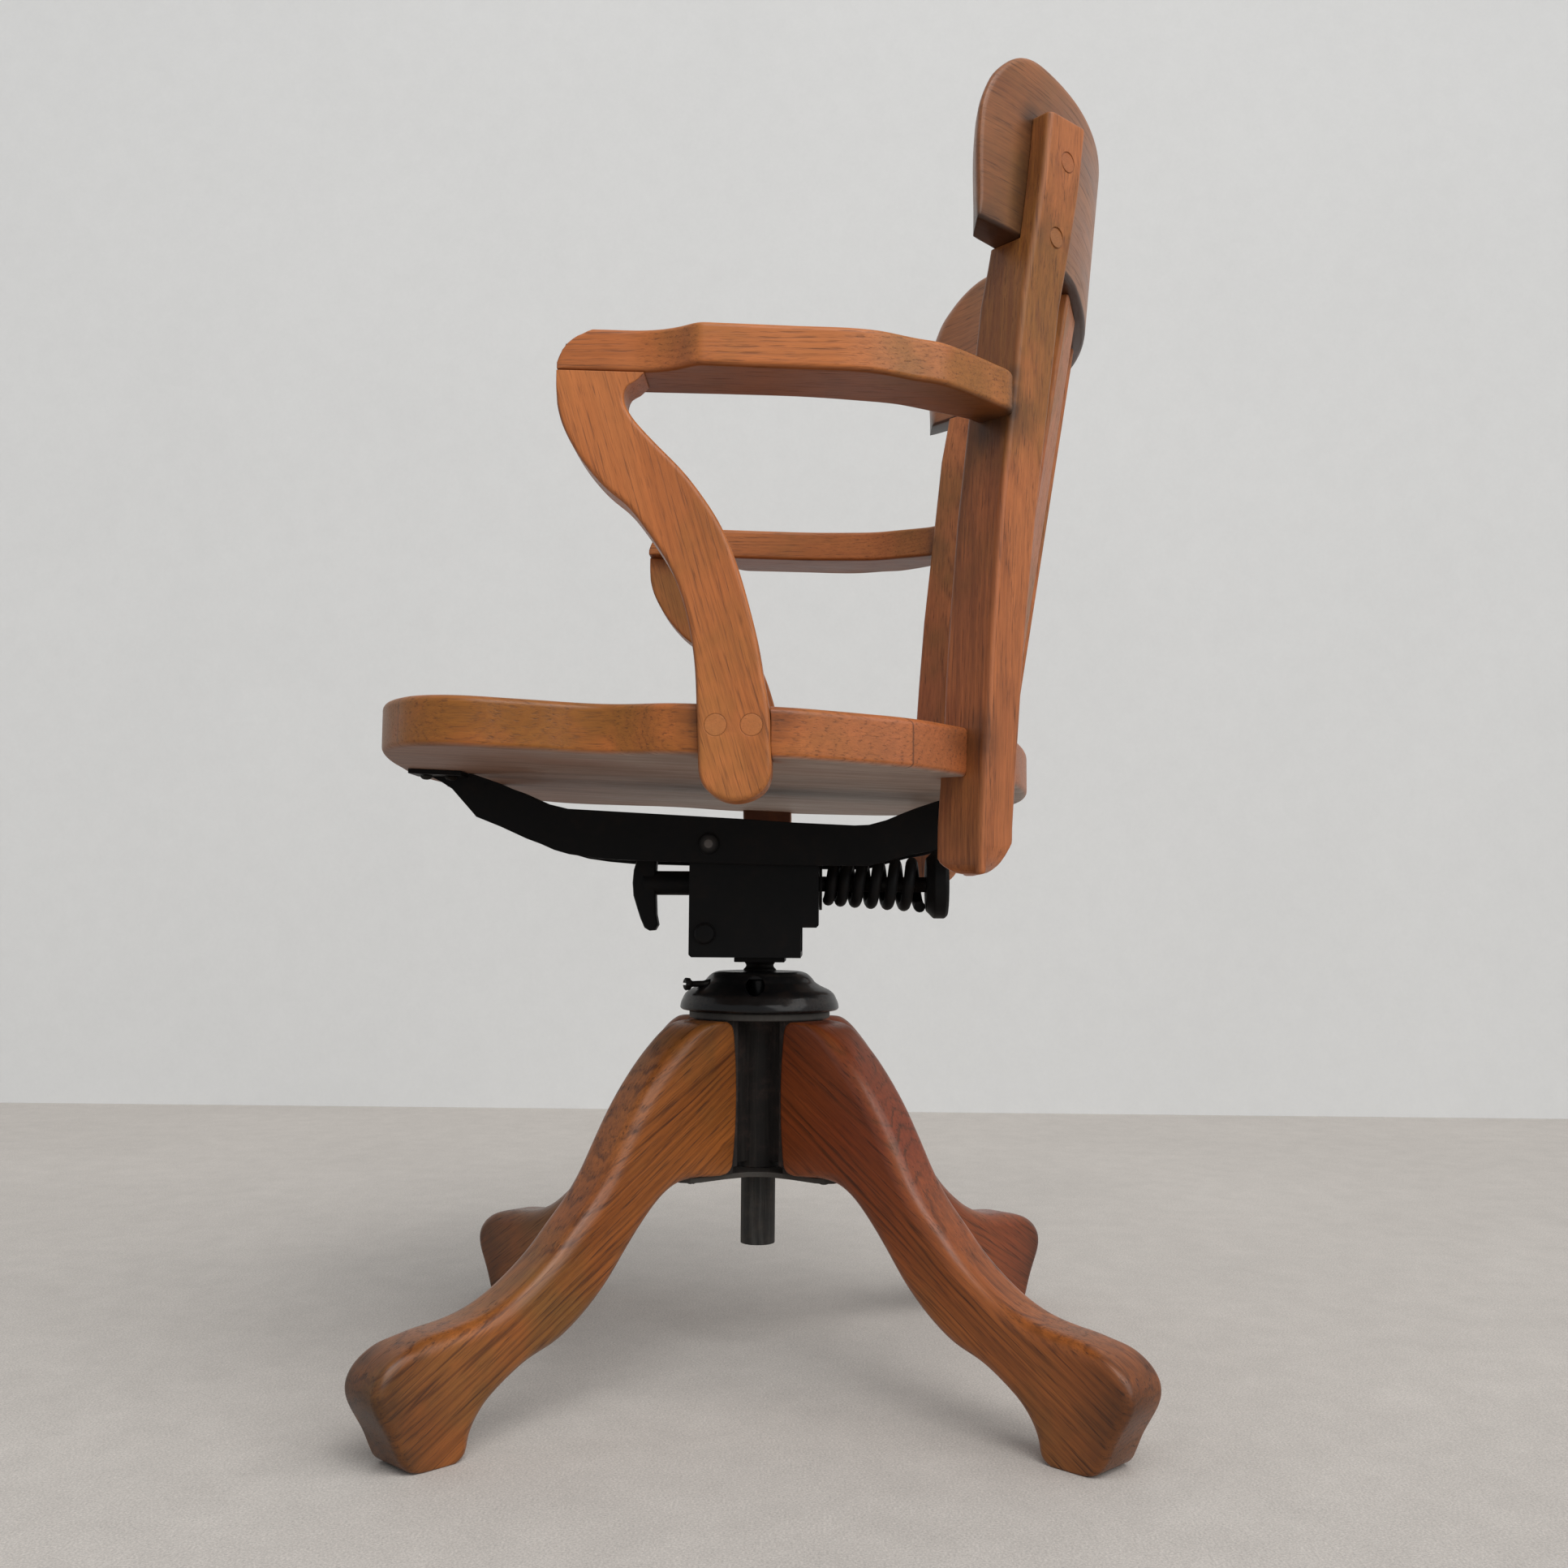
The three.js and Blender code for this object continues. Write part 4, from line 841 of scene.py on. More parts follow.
# glint lightens the flange rim and the plate's rim: a painted highlight where they catch the light
HUB_IRON = black_iron(
    "hub_iron_look", base=(0.026, 0.0225, 0.021), second=(0.062, 0.040, 0.034), dust_and_sheen=(0.085, 0.074, 0.064), rough=0.66, dust=0.35,
    chips=0.35, grainy=0.45, specular=0.16, streaks=0.2, glint=0.55, bare=(0.085, 0.080, 0.072),
)
# glint lightens the brim and top rim a little: a painted highlight
ENAMEL = black_iron(
    "collar_enamel_look", base=(0.0046, 0.0045, 0.0048), second=(0.010, 0.007, 0.006), dust_and_sheen=(0.020, 0.017, 0.016), bare=(0.050, 0.040, 0.034),
    rough=0.36, dust=0.03, chips=0.35, coat=0.30, coat_rough=0.13, grainy=0.08, specular=0.12, glint=0.05,
)
# light vertical streaks on the guard tube: a painted highlight for its reflections, with some dust
GUARD_IRON = black_iron(
    "guard_iron_look", base=(0.016, 0.015, 0.014), second=(0.034, 0.026, 0.022), dust_and_sheen=(0.075, 0.072, 0.066), rough=0.5, chips=0.3, grainy=0.3,
    specular=0.25, streaks=0.42,
)
STEEL = worn_steel("worn_steel_look")
DARK_STEEL = worn_steel("dark_steel_look", clean=(0.026, 0.024, 0.022), dark_patch=(0.006, 0.0055, 0.005), rust=(0.014, 0.009, 0.006), amount=0.9, rough=0.5)

LEFT_RIGHT = (("left", 1), ("right", -1))


def attributes(ob, axes, along, across, through, shift):
    edge_from_normals(ob, axes)
    grain(ob, along, across, through, shift)


# ---------------------------------------------------------------- legs
ROOT_ROUND = 9.0


def root_corner(z, side):
    """The rounded corner of a leg against the hub, from the hub's face to the leg's top (side -1) or bottom (side 1)."""
    c = (LEG_ROOT + ROOT_ROUND, z + side * ROOT_ROUND)
    return [(c[0] - ROOT_ROUND * math.cos(t), c[1] - side * ROOT_ROUND * math.sin(t)) for t in np.radians(np.linspace(0, 90, 7))]


def corner_fillers():
    """Cast metal that fills the rounded corners of the legs, as one set of vertices and faces."""
    V, F = [], []
    for angle in (-45, 45, 135, -135):
        a = math.radians(angle + BASE_YAW)
        er, et = np.array([math.cos(a), math.sin(a), 0]), np.array([math.sin(a), -math.cos(a), 0])
        for z, side in ((272.3, -1), (159.3, 1)):
            outline = [(LEG_ROOT - 2.0, z + side * (ROOT_ROUND + 1)), (LEG_ROOT - 0.3, z + side * (ROOT_ROUND + 1))]
            outline += [(r - 0.25, h - side * 0.25) for r, h in root_corner(z, side)]
            outline += [(LEG_ROOT + ROOT_ROUND, z - side * 0.4), (LEG_ROOT - 2.0, z - side * 0.4)]
            n, k = len(outline), len(V)
            for t in (-17.5, 17.5):
                V += [r * er + t * et + np.array([0, 0, h]) for r, h in outline]
            F += [[k + i, k + (i + 1) % n, k + n + (i + 1) % n, k + n + i] for i in range(n)]
            F += [[k + i for i in range(n)][::-1], [k + n + i for i in range(n)]]
    return V, F


def build_legs():
    P = smooth_outline(root_corner(272.3, -1) + LEG_OUTLINE[1:-1] + root_corner(159.3, 1)[::-1], 3.0, 50)
    P = eased(P, 5, (P[:, 0] < 60) | (P[:, 1] < 12))
    P[:, 1] = np.maximum(P[:, 1], FLOOR_Z)
    r, z = P[:, 0], P[:, 1]
    radius = 2.0 + 9.0 * np.clip((r - 62) / 40, 0, 1)
    radius = np.where(r > 318, 6.5, radius)
    radius = np.where((z < 14) & (r > 250), 1.5 + np.clip((z - 5) / 9, 0, 1) * 5, radius)
    for _ in range(6):
        radius = (np.roll(radius, 1) + 2 * radius + np.roll(radius, -1)) / 4
    verts, faces, edge = slab(P, LEG_THICKNESS / 2, radius, steps=6, flats=(0.9, 4.0), grid=14)
    for k, (name, angle) in enumerate((("leg_front_left", -45), ("leg_rear_left", 45), ("leg_rear_right", 135), ("leg_front_right", -135))):
        a = math.radians(angle + BASE_YAW)
        er, et = np.array([math.cos(a), math.sin(a), 0]), np.array([math.sin(a), -math.cos(a), 0])
        world = verts[:, :1] * er + verts[:, 2:3] * et + np.column_stack([np.zeros((len(verts), 2)), verts[:, 1]])
        ob = make_object(name + "_piece", world, faces)
        g = math.radians(-32)
        along = er * math.cos(g) + np.array([0, 0, math.sin(g)])
        across = -er * math.sin(g) + np.array([0, 0, math.cos(g)])
        attributes(ob, [et], along, across, et, (0.31 * k, 0.043 * k - 0.02, 0.013 * k))
        # the flat sides and the sawn curve both count as no edge
        no = np.zeros(len(ob.data.vertices) * 3, np.float32)
        ob.data.vertices.foreach_get("normal", no)
        c = np.abs(no.reshape(-1, 3) @ et)
        # the rounded ridges are lightened by the material: a painted highlight with some wear
        set_float(ob, "edge", np.clip(4 * c * c * (1 - c * c), 0, 1) ** 1.5)
        height = np.clip((millimetres(ob)[:, 2] - 80) / 110, 0, 1)
        low = (0.25, 0.25, 1.0, 0.4)[k]
        set_float(ob, "tone", (0.05, 0.95, 0.8, 0.5)[k] * (low + (1 - low) * height))
        finish_piece(ob, OAK_LEG, "base", name, weighted=False)


# ---------------------------------------------------------------- posts
def post_section(z, grow=0.0, round_by=4.5, steps=5):
    depth = float(table(POST_DEPTH, z))
    rise = float(table(POST_RISE, z))
    n = math.hypot(31, rise)
    A, B = np.array([-31, -rise]) / n, np.array([-1, 1]) / math.sqrt(2)
    a0, a1, b0, b1 = -grow, POST_SIDE + grow, -grow, depth + grow
    c = round_by
    pts = []
    for (ca, cb), start in (((a1 - c, b0 + c), -90), ((a1 - c, b1 - c), 0), ((a0 + c, b1 - c), 90), ((a0 + c, b0 + c), 180)):
        for k in range(steps + 1):
            t = math.radians(start + 90 * k / steps)
            pts.append((ca + c * math.cos(t), cb + c * math.sin(t)))
    pts = np.array(pts)
    corner = np.array([POST_X, float(table(POST_CORNER, z))])
    return corner + pts[:, :1] * A + pts[:, 1:] * B


def post_solid(name, grow=0.0, z0=380.0, z1=896.0, shaped=True):
    zs = list(np.arange(z0, z1, 6.0)) + [z1]
    if shaped:
        zs = sorted(set([z0, z0 + 0.5, z0 + 1.5, z0 + 3] + [z for z in zs if z > z0 + 4 and z < z1 - 3] + list(np.arange(386, 412, 2.5)) + [z1 - 2, z1 - 0.8, z1]))
    rings = []
    for z in zs:
        s = post_section(z, grow, 4.5 if shaped else 4.5 + grow)
        if shaped:
            if z < 420:
                s[:, 1] = np.clip(s[:, 1], table(POST_FOOT_FRONT, z), table(POST_FOOT_REAR, z))
            c = s.mean(0)
            inset = {z0: 1.6, z0 + 0.5: 0.7, z0 + 1.5: 0.15, z1 - 0.8: 0.35, z1: 1.4}.get(z, 0)
            if inset:
                d = s - c
                s = c + d * (1 - inset / np.maximum(np.linalg.norm(d, axis=1), 1e-6))[:, None]
        rings.append(np.column_stack([s, np.full(len(s), z)]))
    n = len(rings[0])
    V = np.concatenate(rings)
    faces = []
    for r in range(len(rings) - 1):
        for i in range(n):
            j = (i + 1) % n
            faces.append([r * n + i, r * n + j, (r + 1) * n + j, (r + 1) * n + i])
    faces.append(list(range(n))[::-1])
    faces.append([(len(rings) - 1) * n + i for i in range(n)])
    return make_object(name, V, faces)


def crest_cutter():
    yc, n = CREST_YC, 360
    V, faces = [], []
    for z in (SHOULDER_Z - GAP, 960):
        for i in range(n):
            a = 2 * math.pi * i / n
            r = CREST_R[1] + GAP
            V.append((r * math.cos(a), yc + r * math.sin(a) + CREST_LEAN * (z - SHOULDER_Z), z))
    for i in range(n):
        j = (i + 1) % n
        faces.append([i, j, n + j, n + i])
    faces.append(list(range(n))[::-1])
    faces.append([n + i for i in range(n)])
    return make_object("cutter", V, faces)


def round_bar(a, b, radius, sides=48):
    a, b = np.array(a, float), np.array(b, float)
    d = b - a
    L = np.linalg.norm(d)
    d /= L
    n = np.cross(d, [0, 0, 1.0])
    if np.linalg.norm(n) < 1e-6:
        n = np.array([1.0, 0, 0])
    n /= np.linalg.norm(n)
    m = np.cross(d, n)
    V, faces = [], []
    for p in (a, b):
        for i in range(sides):
            t = 2 * math.pi * i / sides
            V.append(p + radius * (math.cos(t) * n + math.sin(t) * m))
    for i in range(sides):
        j = (i + 1) % sides
        faces.append([i, j, sides + j, sides + i])
    faces.append(list(range(sides))[::-1])
    faces.append([sides + i for i in range(sides)])
    return make_object("cutter", V, faces)


PLUG_R = 7.0
POST_PLUGS = [(POST_X + float(table(POST_CORNER, z)) - y, y, z) for z, y in ((866.9, 214.8), (813.7, 206.6))]
SUPPORT_PLUGS = [(-17, 469.5), (5.3, 469.6)]


def plug(name, centre, direction, across, material_shift):
    """A wood plug: a short round peg whose end is sanded almost flush."""
    c, d = np.array(centre, float), np.array(direction, float)
    d /= np.linalg.norm(d)
    s = np.array(across, float)
    s -= d * (s @ d)
    s /= np.linalg.norm(s)
    t = np.cross(d, s)
    n = 48
    prof = [(0, -5.8), (PLUG_R, -5.8), (PLUG_R, -0.2), (PLUG_R - 0.12, -0.03), (PLUG_R - 0.8, 0.0), (PLUG_R * 0.6, 0.0), (0, -0.01)]
    V, F = lathe(prof, n)
    world = c + V[:, :1] * s + V[:, 1:2] * t + V[:, 2:3] * d
    ob = make_object(name, world, F)
    grain(ob, d, s, t, material_shift)
    r = np.hypot(V[:, 0], V[:, 1])
    P = millimetres(ob) - c
    off = P - np.outer(P @ d, d)
    set_float(ob, "edge", np.clip((np.linalg.norm(off, axis=1) - 6.2) / 0.6, 0, 1))
    return ob


def build_posts():
    ob = post_solid("back_post_left_piece")
    cut(ob, crest_cutter())
    direction = np.array([1, 1, 0]) / math.sqrt(2)
    for p in POST_PLUGS:
        cut(ob, round_bar(np.array(p) - direction * 6.3, np.array(p) + direction * 20, PLUG_R + 0.03))
    other = mirrored(ob, "back_post_right_piece")
    A, B = (-0.74, -0.67, 0), (-0.7071, 0.7071, 0)
    for k, (o, s) in enumerate(((ob, 1), (other, -1))):
        attributes(o, [(A[0] * s, A[1], 0), (B[0] * s, B[1], 0), (0, 0, 1)], (0, 0.06, 1), (B[0] * s, B[1], 0), (A[0] * s, A[1], 0), (0.4 + 0.7 * k, 0.05 - 0.03 * k, 0.012 * k))
        no = np.zeros(len(o.data.vertices) * 3, np.float32)
        o.data.vertices.foreach_get("normal", no)
        # painted shade: the faces turned to the front are marked, to be darkened in streaks and made more olive
        front = np.clip((no.reshape(-1, 3) @ np.array([0.7071 * s, -0.7071, 0]) - 0.5) / 0.35, 0, 1)
        set_float(o, "front", front)
        set_float(o, "aged_and_shade", front * 0.5)
        set_float(o, "tone", np.clip((600 - millimetres(o)[:, 2]) / 180, 0, 1) * 0.45)
        finish_piece(o, OAK_POST, "seat", "back_post_" + ("left", "right")[k], angle=34)
        for i, (x, y, z) in enumerate(POST_PLUGS):
            p = plug(f"post_plug_{('left', 'right')[k]}_{i + 1}_piece", (s * x, y, z), (s, 1, 0), (0, 0, 1), (0.1 * i + k, 0.003 * i, 0.002))
            finish_piece(p, POST_PLUG, "seat", f"post_plug_{('left', 'right')[k]}_{i + 1}")


# ---------------------------------------------------------------- arms and their supports
def build_arms():
    P = smooth_outline(ARM_OUTLINE, 3.0, 26)
    P[:, 0] = np.minimum(P[:, 0], 299)
    verts, faces, _ = slab(P, ARM_THICKNESS / 2, 3.6, 3.2, steps=5, flats=(0.8, 3.0), grid=(7, 3.5))
    y = verts[:, 1]
    base = arm_bottom(y)
    share = (verts[:, 2] + ARM_THICKNESS / 2) / ARM_THICKNESS
    nose = smooth_outline(ARM_NOSE + [(-95, 650), (-119.4, 650)], 1.0, 60)
    nose = nose[(nose[:, 1] > 699.6) & (nose[:, 0] < -94.9)]
    nose = nose[np.argsort(nose[:, 0])]
    limit = np.where(y < -95, np.interp(y, nose[:, 0], nose[:, 1]), 1e9)
    top = np.minimum(base + ARM_THICKNESS, limit)
    verts[:, 2] = base + (top - base) * share
    ob = make_object("arm_left_piece", verts, faces)
    cutter = post_solid("cutter", 0.25, 600, 800, shaped=False)
    cut(ob, cutter)
    other = mirrored(ob, "arm_right_piece")
    for k, (o, s) in enumerate(((ob, 1), (other, -1))):
        attributes(o, [(0, 0, 1), (1, 0, 0), (0, 1, 0)], (0.10 * s, 1, ARM_SLOPE), (1, 0, 0), (0, 0, 1), (0.2 + 0.9 * k, 0.02, 0.02 + 0.03 * k))
        no = np.zeros(len(o.data.vertices) * 3, np.float32)
        o.data.vertices.foreach_get("normal", no)
        c = np.abs(no.reshape(-1, 3)[:, 2])
        set_float(o, "edge", np.clip(4 * c * c * (1 - c * c), 0, 1) ** 1.5)
        # painted shade: undersides and faces turned to the front are marked, to be darkened
        set_float(o, "under", np.clip((-no.reshape(-1, 3)[:, 2] - 0.3) / 0.6, 0, 1))
        set_float(o, "front", np.clip((-no.reshape(-1, 3)[:, 1] - 0.35) / 0.5, 0, 1))
        finish_piece(o, OAK_ARM, "seat", "arm_" + ("left", "right")[k], angle=34)


def build_supports():
    P = smooth_outline(SUPPORT_OUTLINE, 2.5, 38)
    P = eased(P, 10, P[:, 1] > 672)
    sharper = np.clip((686 - P[:, 1]) / 10, 0.1, 1)
    for _ in range(4):
        sharper = (np.roll(sharper, 1) + 2 * sharper + np.roll(sharper, -1)) / 4
    V, F, _ = bar(P, SUPPORT_X[0], SUPPORT_X[1], top=3.0 * sharper, bottom=2.5 * sharper, steps=5, flats=(0.8, 3.0), grid=8)
    ob = make_object("arm_support_left_piece", V, F)
    for y, z in SUPPORT_PLUGS:
        cut(ob, round_bar((SUPPORT_X[1] - 6.3, y, z), (300, y, z), PLUG_R + 0.03))
    other = mirrored(ob, "arm_support_right_piece")
    for k, (o, s) in enumerate(((ob, 1), (other, -1))):
        attributes(o, [(1, 0, 0)], (0, -0.27, 0.96), (0, 0.96, 0.27), (1, 0, 0), (0.6 + 0.5 * k, 0.03, -0.24 * s))
        no = np.zeros(len(o.data.vertices) * 3, np.float32)
        o.data.vertices.foreach_get("normal", no)
        c = np.abs(no.reshape(-1, 3)[:, 0])
        set_float(o, "edge", np.clip(4 * c * c * (1 - c * c), 0, 1) ** 1.5)
        # painted shade: faces turned to the front, and the inner faces below the seat, are marked to be darkened
        set_float(o, "front", np.clip((-no.reshape(-1, 3)[:, 1] - 0.35) / 0.5, 0, 1) * (c < 0.97))
        inner = np.clip(-s * no.reshape(-1, 3)[:, 0] * 2 - 0.6, 0, 1)
        set_float(o, "under", inner * np.clip((480 - millimetres(o)[:, 2]) / 30, 0, 1) * 1.7)
        side = ("left", "right")[k]
        finish_piece(o, OAK_ARM, "seat", "arm_support_" + side, angle=34)
        for i, (y, z) in enumerate(SUPPORT_PLUGS):
            p = plug(f"support_plug_{side}_{i + 1}_piece", (s * SUPPORT_X[1], y, z), (s, 0, 0), (0, 0, 1), (0.2 * i + k, 0.004 * i, 0.003))
            finish_piece(p, OAK_PLUG, "seat", f"support_plug_{side}_{i + 1}")


# ---------------------------------------------------------------- seat
def build_seat():
    outline = SEAT_HALF + [(-x, y) for x, y in SEAT_HALF[-2:0:-1]]
    P = smooth_outline(outline, 4.0, 38)
    verts, faces, _ = slab(P, SEAT_THICKNESS / 2, 5.0, 4.0, steps=5, flats=(1.0, 5.0), grid=16)
    verts[:, 2] += SEAT_TOP - SEAT_THICKNESS / 2 + SEAT_SLOPE * (verts[:, 1] - SEAT_REF_Y)
    ob = make_object("seat_board_piece", verts, faces)
    post = post_solid("cutter", 0.25, 430, 520, shaped=False)
    other = mirrored(post, "cutter_b")
    grown = smooth_outline(SUPPORT_OUTLINE, 2.5, 38)
    grown = grown + outward(grown) * 0.25
    V, F, _ = bar(grown, SUPPORT_X[0] - GAP, 320, top=0.01, bottom=0.01, steps=1, flats=(0.5,), grid=0)
    support = make_object("cutter_c", V, F)
    support_b = mirrored(support, "cutter_d")
    cut(ob, post, other, support, support_b)
    up = np.array([0, -SEAT_SLOPE, 1.0])
    up /= np.linalg.norm(up)
    grain(ob, (0, 1, SEAT_SLOPE), (1, 0, 0), up, (0.3, 0.001, -0.44))
    no = np.zeros(len(ob.data.vertices) * 3, np.float32)
    ob.data.vertices.foreach_get("normal", no)
    c = no.reshape(-1, 3) @ up
    set_float(ob, "edge", np.clip(4 * c * c * (1 - c * c), 0, 1) ** 1.5)
    set_float(ob, "under", np.clip((-c - 0.45) / 0.5, 0, 1))
    y = millimetres(ob)[:, 1]
    side = np.clip((0.97 - c) / 0.3, 0.25, 1)
    set_float(ob, "tone", np.clip((y - 10) / 90, 0, 1) * 0.6 * side)
    # olive towards the front, most on the side edges: aged varnish and painted shade
    set_float(ob, "aged_and_shade", np.clip((-40 - y) / 140, 0, 1) * side)
    finish_piece(ob, OAK_SEAT, "seat", "seat_board", angle=34)


# ---------------------------------------------------------------- crest rail and slats
def build_crest():
    rm = (CREST_R[0] + CREST_R[1]) / 2
    half = (CREST_R[1] - CREST_R[0]) / 2

    def plan_angle(y, z, r):
        return np.arcsin(np.clip((y - CREST_LEAN * (z - SHOULDER_Z) - CREST_YC) / r, -1, 1))

    def lower(y):
        return float(table(CREST_LOWER, y))

    def upper(y):
        return float(table([(198, 938.5), (220, 938), (245, 936.6), (290, 935.5)], y))

    # half of the outline on the middle surface, from the middle of the back: distance along the arc, height
    pts = []
    a_end = float(plan_angle(149, SHOULDER_Z, rm))
    s_of = lambda a: (math.pi / 2 - a) * rm
    for k in range(0, 41):
        a = math.pi / 2 + (a_end - math.pi / 2) * k / 40
        z = SHOULDER_Z
        for _ in range(3):
            z = lower(CREST_YC + rm * math.sin(a) + CREST_LEAN * (z - SHOULDER_Z))
        pts.append((s_of(a), z))
    for z, y in CREST_END[1:]:
        pts.append((s_of(float(plan_angle(y, z, rm))), z))
    a_top = float(plan_angle(198, 938.5, rm))
    for k in range(1, 34):
        a = a_top + (math.pi / 2 - a_top) * k / 33
        z = 937.0
        for _ in range(3):
            z = upper(CREST_YC + rm * math.sin(a) + CREST_LEAN * (z - SHOULDER_Z))
        pts.append((s_of(a), z))
    pts = pts + [(-s, z) for s, z in pts[-2:0:-1]]
    P = smooth_outline(pts, 4.0, 38)
    end = s_of(a_end)
    r = np.where(P[:, 1] > 860, 6.0, 3.0)
    near_end = np.abs(P[:, 0]) > end - 12
    r = np.where(near_end & (P[:, 1] > 815), 7.0, r)
    for _ in range(8):
        r = (np.roll(r, 1) + 2 * r + np.roll(r, -1)) / 4
    verts, faces, edge = slab(P, half, r, steps=6, flats=(0.9, 4.0), grid=(7, 9))
    s, z, w = verts[:, 0], verts[:, 1], verts[:, 2]
    a_mid = math.pi / 2 - np.abs(s) / rm
    y_plan = CREST_YC + rm * np.sin(a_mid)
    radius = rm + w
    a_same = np.arcsin(np.clip((y_plan - CREST_YC) / radius, -1, 1))
    f = np.clip((np.abs(s) - (end - 120)) / 90, 0, 1)
    f = f * f * (3 - 2 * f)
    a = a_mid * (1 - f) + a_same * f
    world = np.column_stack([np.sign(s) * radius * np.cos(a), CREST_YC + radius * np.sin(a) + CREST_LEAN * (z - SHOULDER_Z), z])
    ob = make_object("crest_rail_piece", world, faces)
    if len(ob.data.vertices) == len(verts):
        set_vector(ob, "grain", np.column_stack([s / 1000, (z - 870) / 1000 + 0.02, w / 1000 + 0.01]))
        set_float(ob, "edge", edge**1.5)
        no = np.zeros(len(ob.data.vertices) * 3, np.float32)
        ob.data.vertices.foreach_get("normal", no)
        # painted shade: the underside, the inner face and the ends in front of the posts are marked to be darkened
        set_float(ob, "under", np.clip((-no.reshape(-1, 3)[:, 2] - 0.06) / 0.3, 0, 1) * (z < 830))
        near_ends = np.clip((180 - world[:, 1]) / 15, 0, 1)
        set_float(ob, "front", np.maximum(np.clip((-w / half - 0.6) / 0.3, 0, 1) * 0.6, near_ends))
    else:
        raise RuntimeError("the crest rail's vertices were merged")
    finish_piece(ob, OAK_CREST, "seat", "crest_rail", angle=34, weighted=False)


def build_slats():
    lean = 0.158
    for i, (x, dy) in enumerate(((0, 0), (92, -13), (-92, -13))):
        turn = math.atan2(x, 320)
        seat_top = SEAT_TOP + SEAT_SLOPE * (189 + dy - SEAT_REF_Y)
        z0, z1 = seat_top + GAP, 802.5 - GAP + (0 if i == 0 else 1.5)
        n = 40
        outline = [(-21, z0)] + [(21, z0)] + [(21, z1)] + [(-21, z1)]
        P = smooth_outline(outline, 8.0, 30)
        V, F, _ = slab(P, 6, 2.6, steps=4, flats=(0.6, 2.5), grid=0)
        X, Z, T = V[:, 0], V[:, 1], V[:, 2]
        rm = (CREST_R[0] + CREST_R[1]) / 2
        across = np.clip(x + X * math.cos(turn), -rm, rm)
        y_mid = CREST_YC + np.sqrt(rm * rm - across * across)
        rail = table(CREST_LOWER, y_mid) - GAP
        lift = np.clip((Z - (z1 - 30)) / 30, 0, 1)
        Z = Z + (rail - z1) * lift * lift * (3 - 2 * lift)
        c, s_ = math.cos(turn), math.sin(turn)
        wx = x + X * c + T * s_
        wy = 189 + dy - X * s_ + T * c + lean * (Z - 476)
        ob = make_object(f"back_slat_{i + 1}_piece", np.column_stack([wx, wy, Z]), F)
        attributes(ob, [(0, 1, 0), (1, 0, 0)], (0, lean, 1), (1, 0, 0), (0, 1, 0), (0.5 * i, 0.03, -0.2 + 0.02 * i))
        finish_piece(ob, OAK_POST, "seat", f"back_slat_{i + 1}", angle=34)


# ---------------------------------------------------------------- metal
def build_collar():
    profile = [
        (12.2, 308.5), (32.5, 308.5), (37, 307), (40.5, 304), (43.5, 300), (47.5, 297.5), (55, 294), (58.5, 291),
        (61.5, 284.5), (62.2, 280.3), (60.5, 278.9), (52.5, 278.9), (53, 286), (44, 292.5), (39, 295.5),
        (34, 303), (20, 303), (20, 281.2), (12.2, 281.2), (12.2, 308.5),
    ]
    V, F = lathe(rounded_profile(profile, 1.6, 4), 128)
    ob = make_object("dome_collar_piece", V, F)
    cut(ob, round_bar((24, -1.6, 298.6), (70, -1.6, 298.6), 7.3))
    d = np.array([25, -55.2, 0]) / math.hypot(25, 55.2)
    up = np.array([0, 0, 299.0])
    cut(ob, round_bar(d * 26 + up, d * 70 + up, 3.8))
    P = millimetres(ob)
    r = np.hypot(P[:, 0], P[:, 1])
    # the brim and the top rim count as edge: chipped there, and lightened a little by the glint as a painted highlight
    set_float(ob, "edge", np.clip(1 - np.abs(r - 60.5) / 4, 0, 1) + np.clip(1 - np.abs(P[:, 2] - 306.5) / 3, 0, 1) * (r > 30))
    finish_piece(ob, ENAMEL, "collar", "dome_collar", angle=40)

    # slotted screw in the side of the collar
    side = np.cross(d, [0, 0, 1.0])
    prof = rounded_profile([(0, 31), (3.4, 31), (3.4, 44), (2.5, 47), (2.3, 56), (3.2, 57.4), (4.6, 58.2), (4.9, 61.4), (3.9, 62.4), (0, 62.6)], 0.35)
    V, F = lathe(prof, 40)
    world = V[:, :1] * side + V[:, 1:2] * np.array([0, 0, 1.0]) + V[:, 2:3] * d + up
    screw = make_object("set_screw_piece", world, F)
    slot_box = np.array([(a, b, c) for a in (-7, 7) for b in (-0.9, 0.9) for c in (59.6, 65.0)])
    box = slot_box[:, :1] * side + slot_box[:, 1:2] * np.array([0, 0, 1.0]) + slot_box[:, 2:3] * d + up
    faces = [[0, 1, 3, 2], [4, 6, 7, 5], [0, 4, 5, 1], [2, 3, 7, 6], [0, 2, 6, 4], [1, 5, 7, 3]]
    cut(screw, make_object("cutter", box, faces))
    set_float(screw, "edge", np.zeros(len(screw.data.vertices)))
    finish_piece(screw, DARK_STEEL, "collar", "set_screw", angle=35)


def build_spring():
    r = 4.45
    bottoms = [53.4, 63.0, 74.4, 86.9, 99.8, 112.8, 125.4]
    pts, n = [], 420
    for i in range(n + 1):
        t = i / n
        turn = t * (len(bottoms) - 1)
        a = 2 * math.pi * (turn - 0.25)
        R = 12.6 + 4.8 * t
        pts.append((R * math.cos(a), float(np.interp(turn, range(len(bottoms)), bottoms)), ROD_Z + R * math.sin(a)))
    V, F = tube(pts, r, 14)
    ob = make_object("tension_spring_piece", V, F)
    set_float(ob, "edge", np.zeros(len(ob.data.vertices)))
    finish_piece(ob, BLACK_IRON, "spindle", "tension_spring", weighted=False)
    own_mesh(ob)


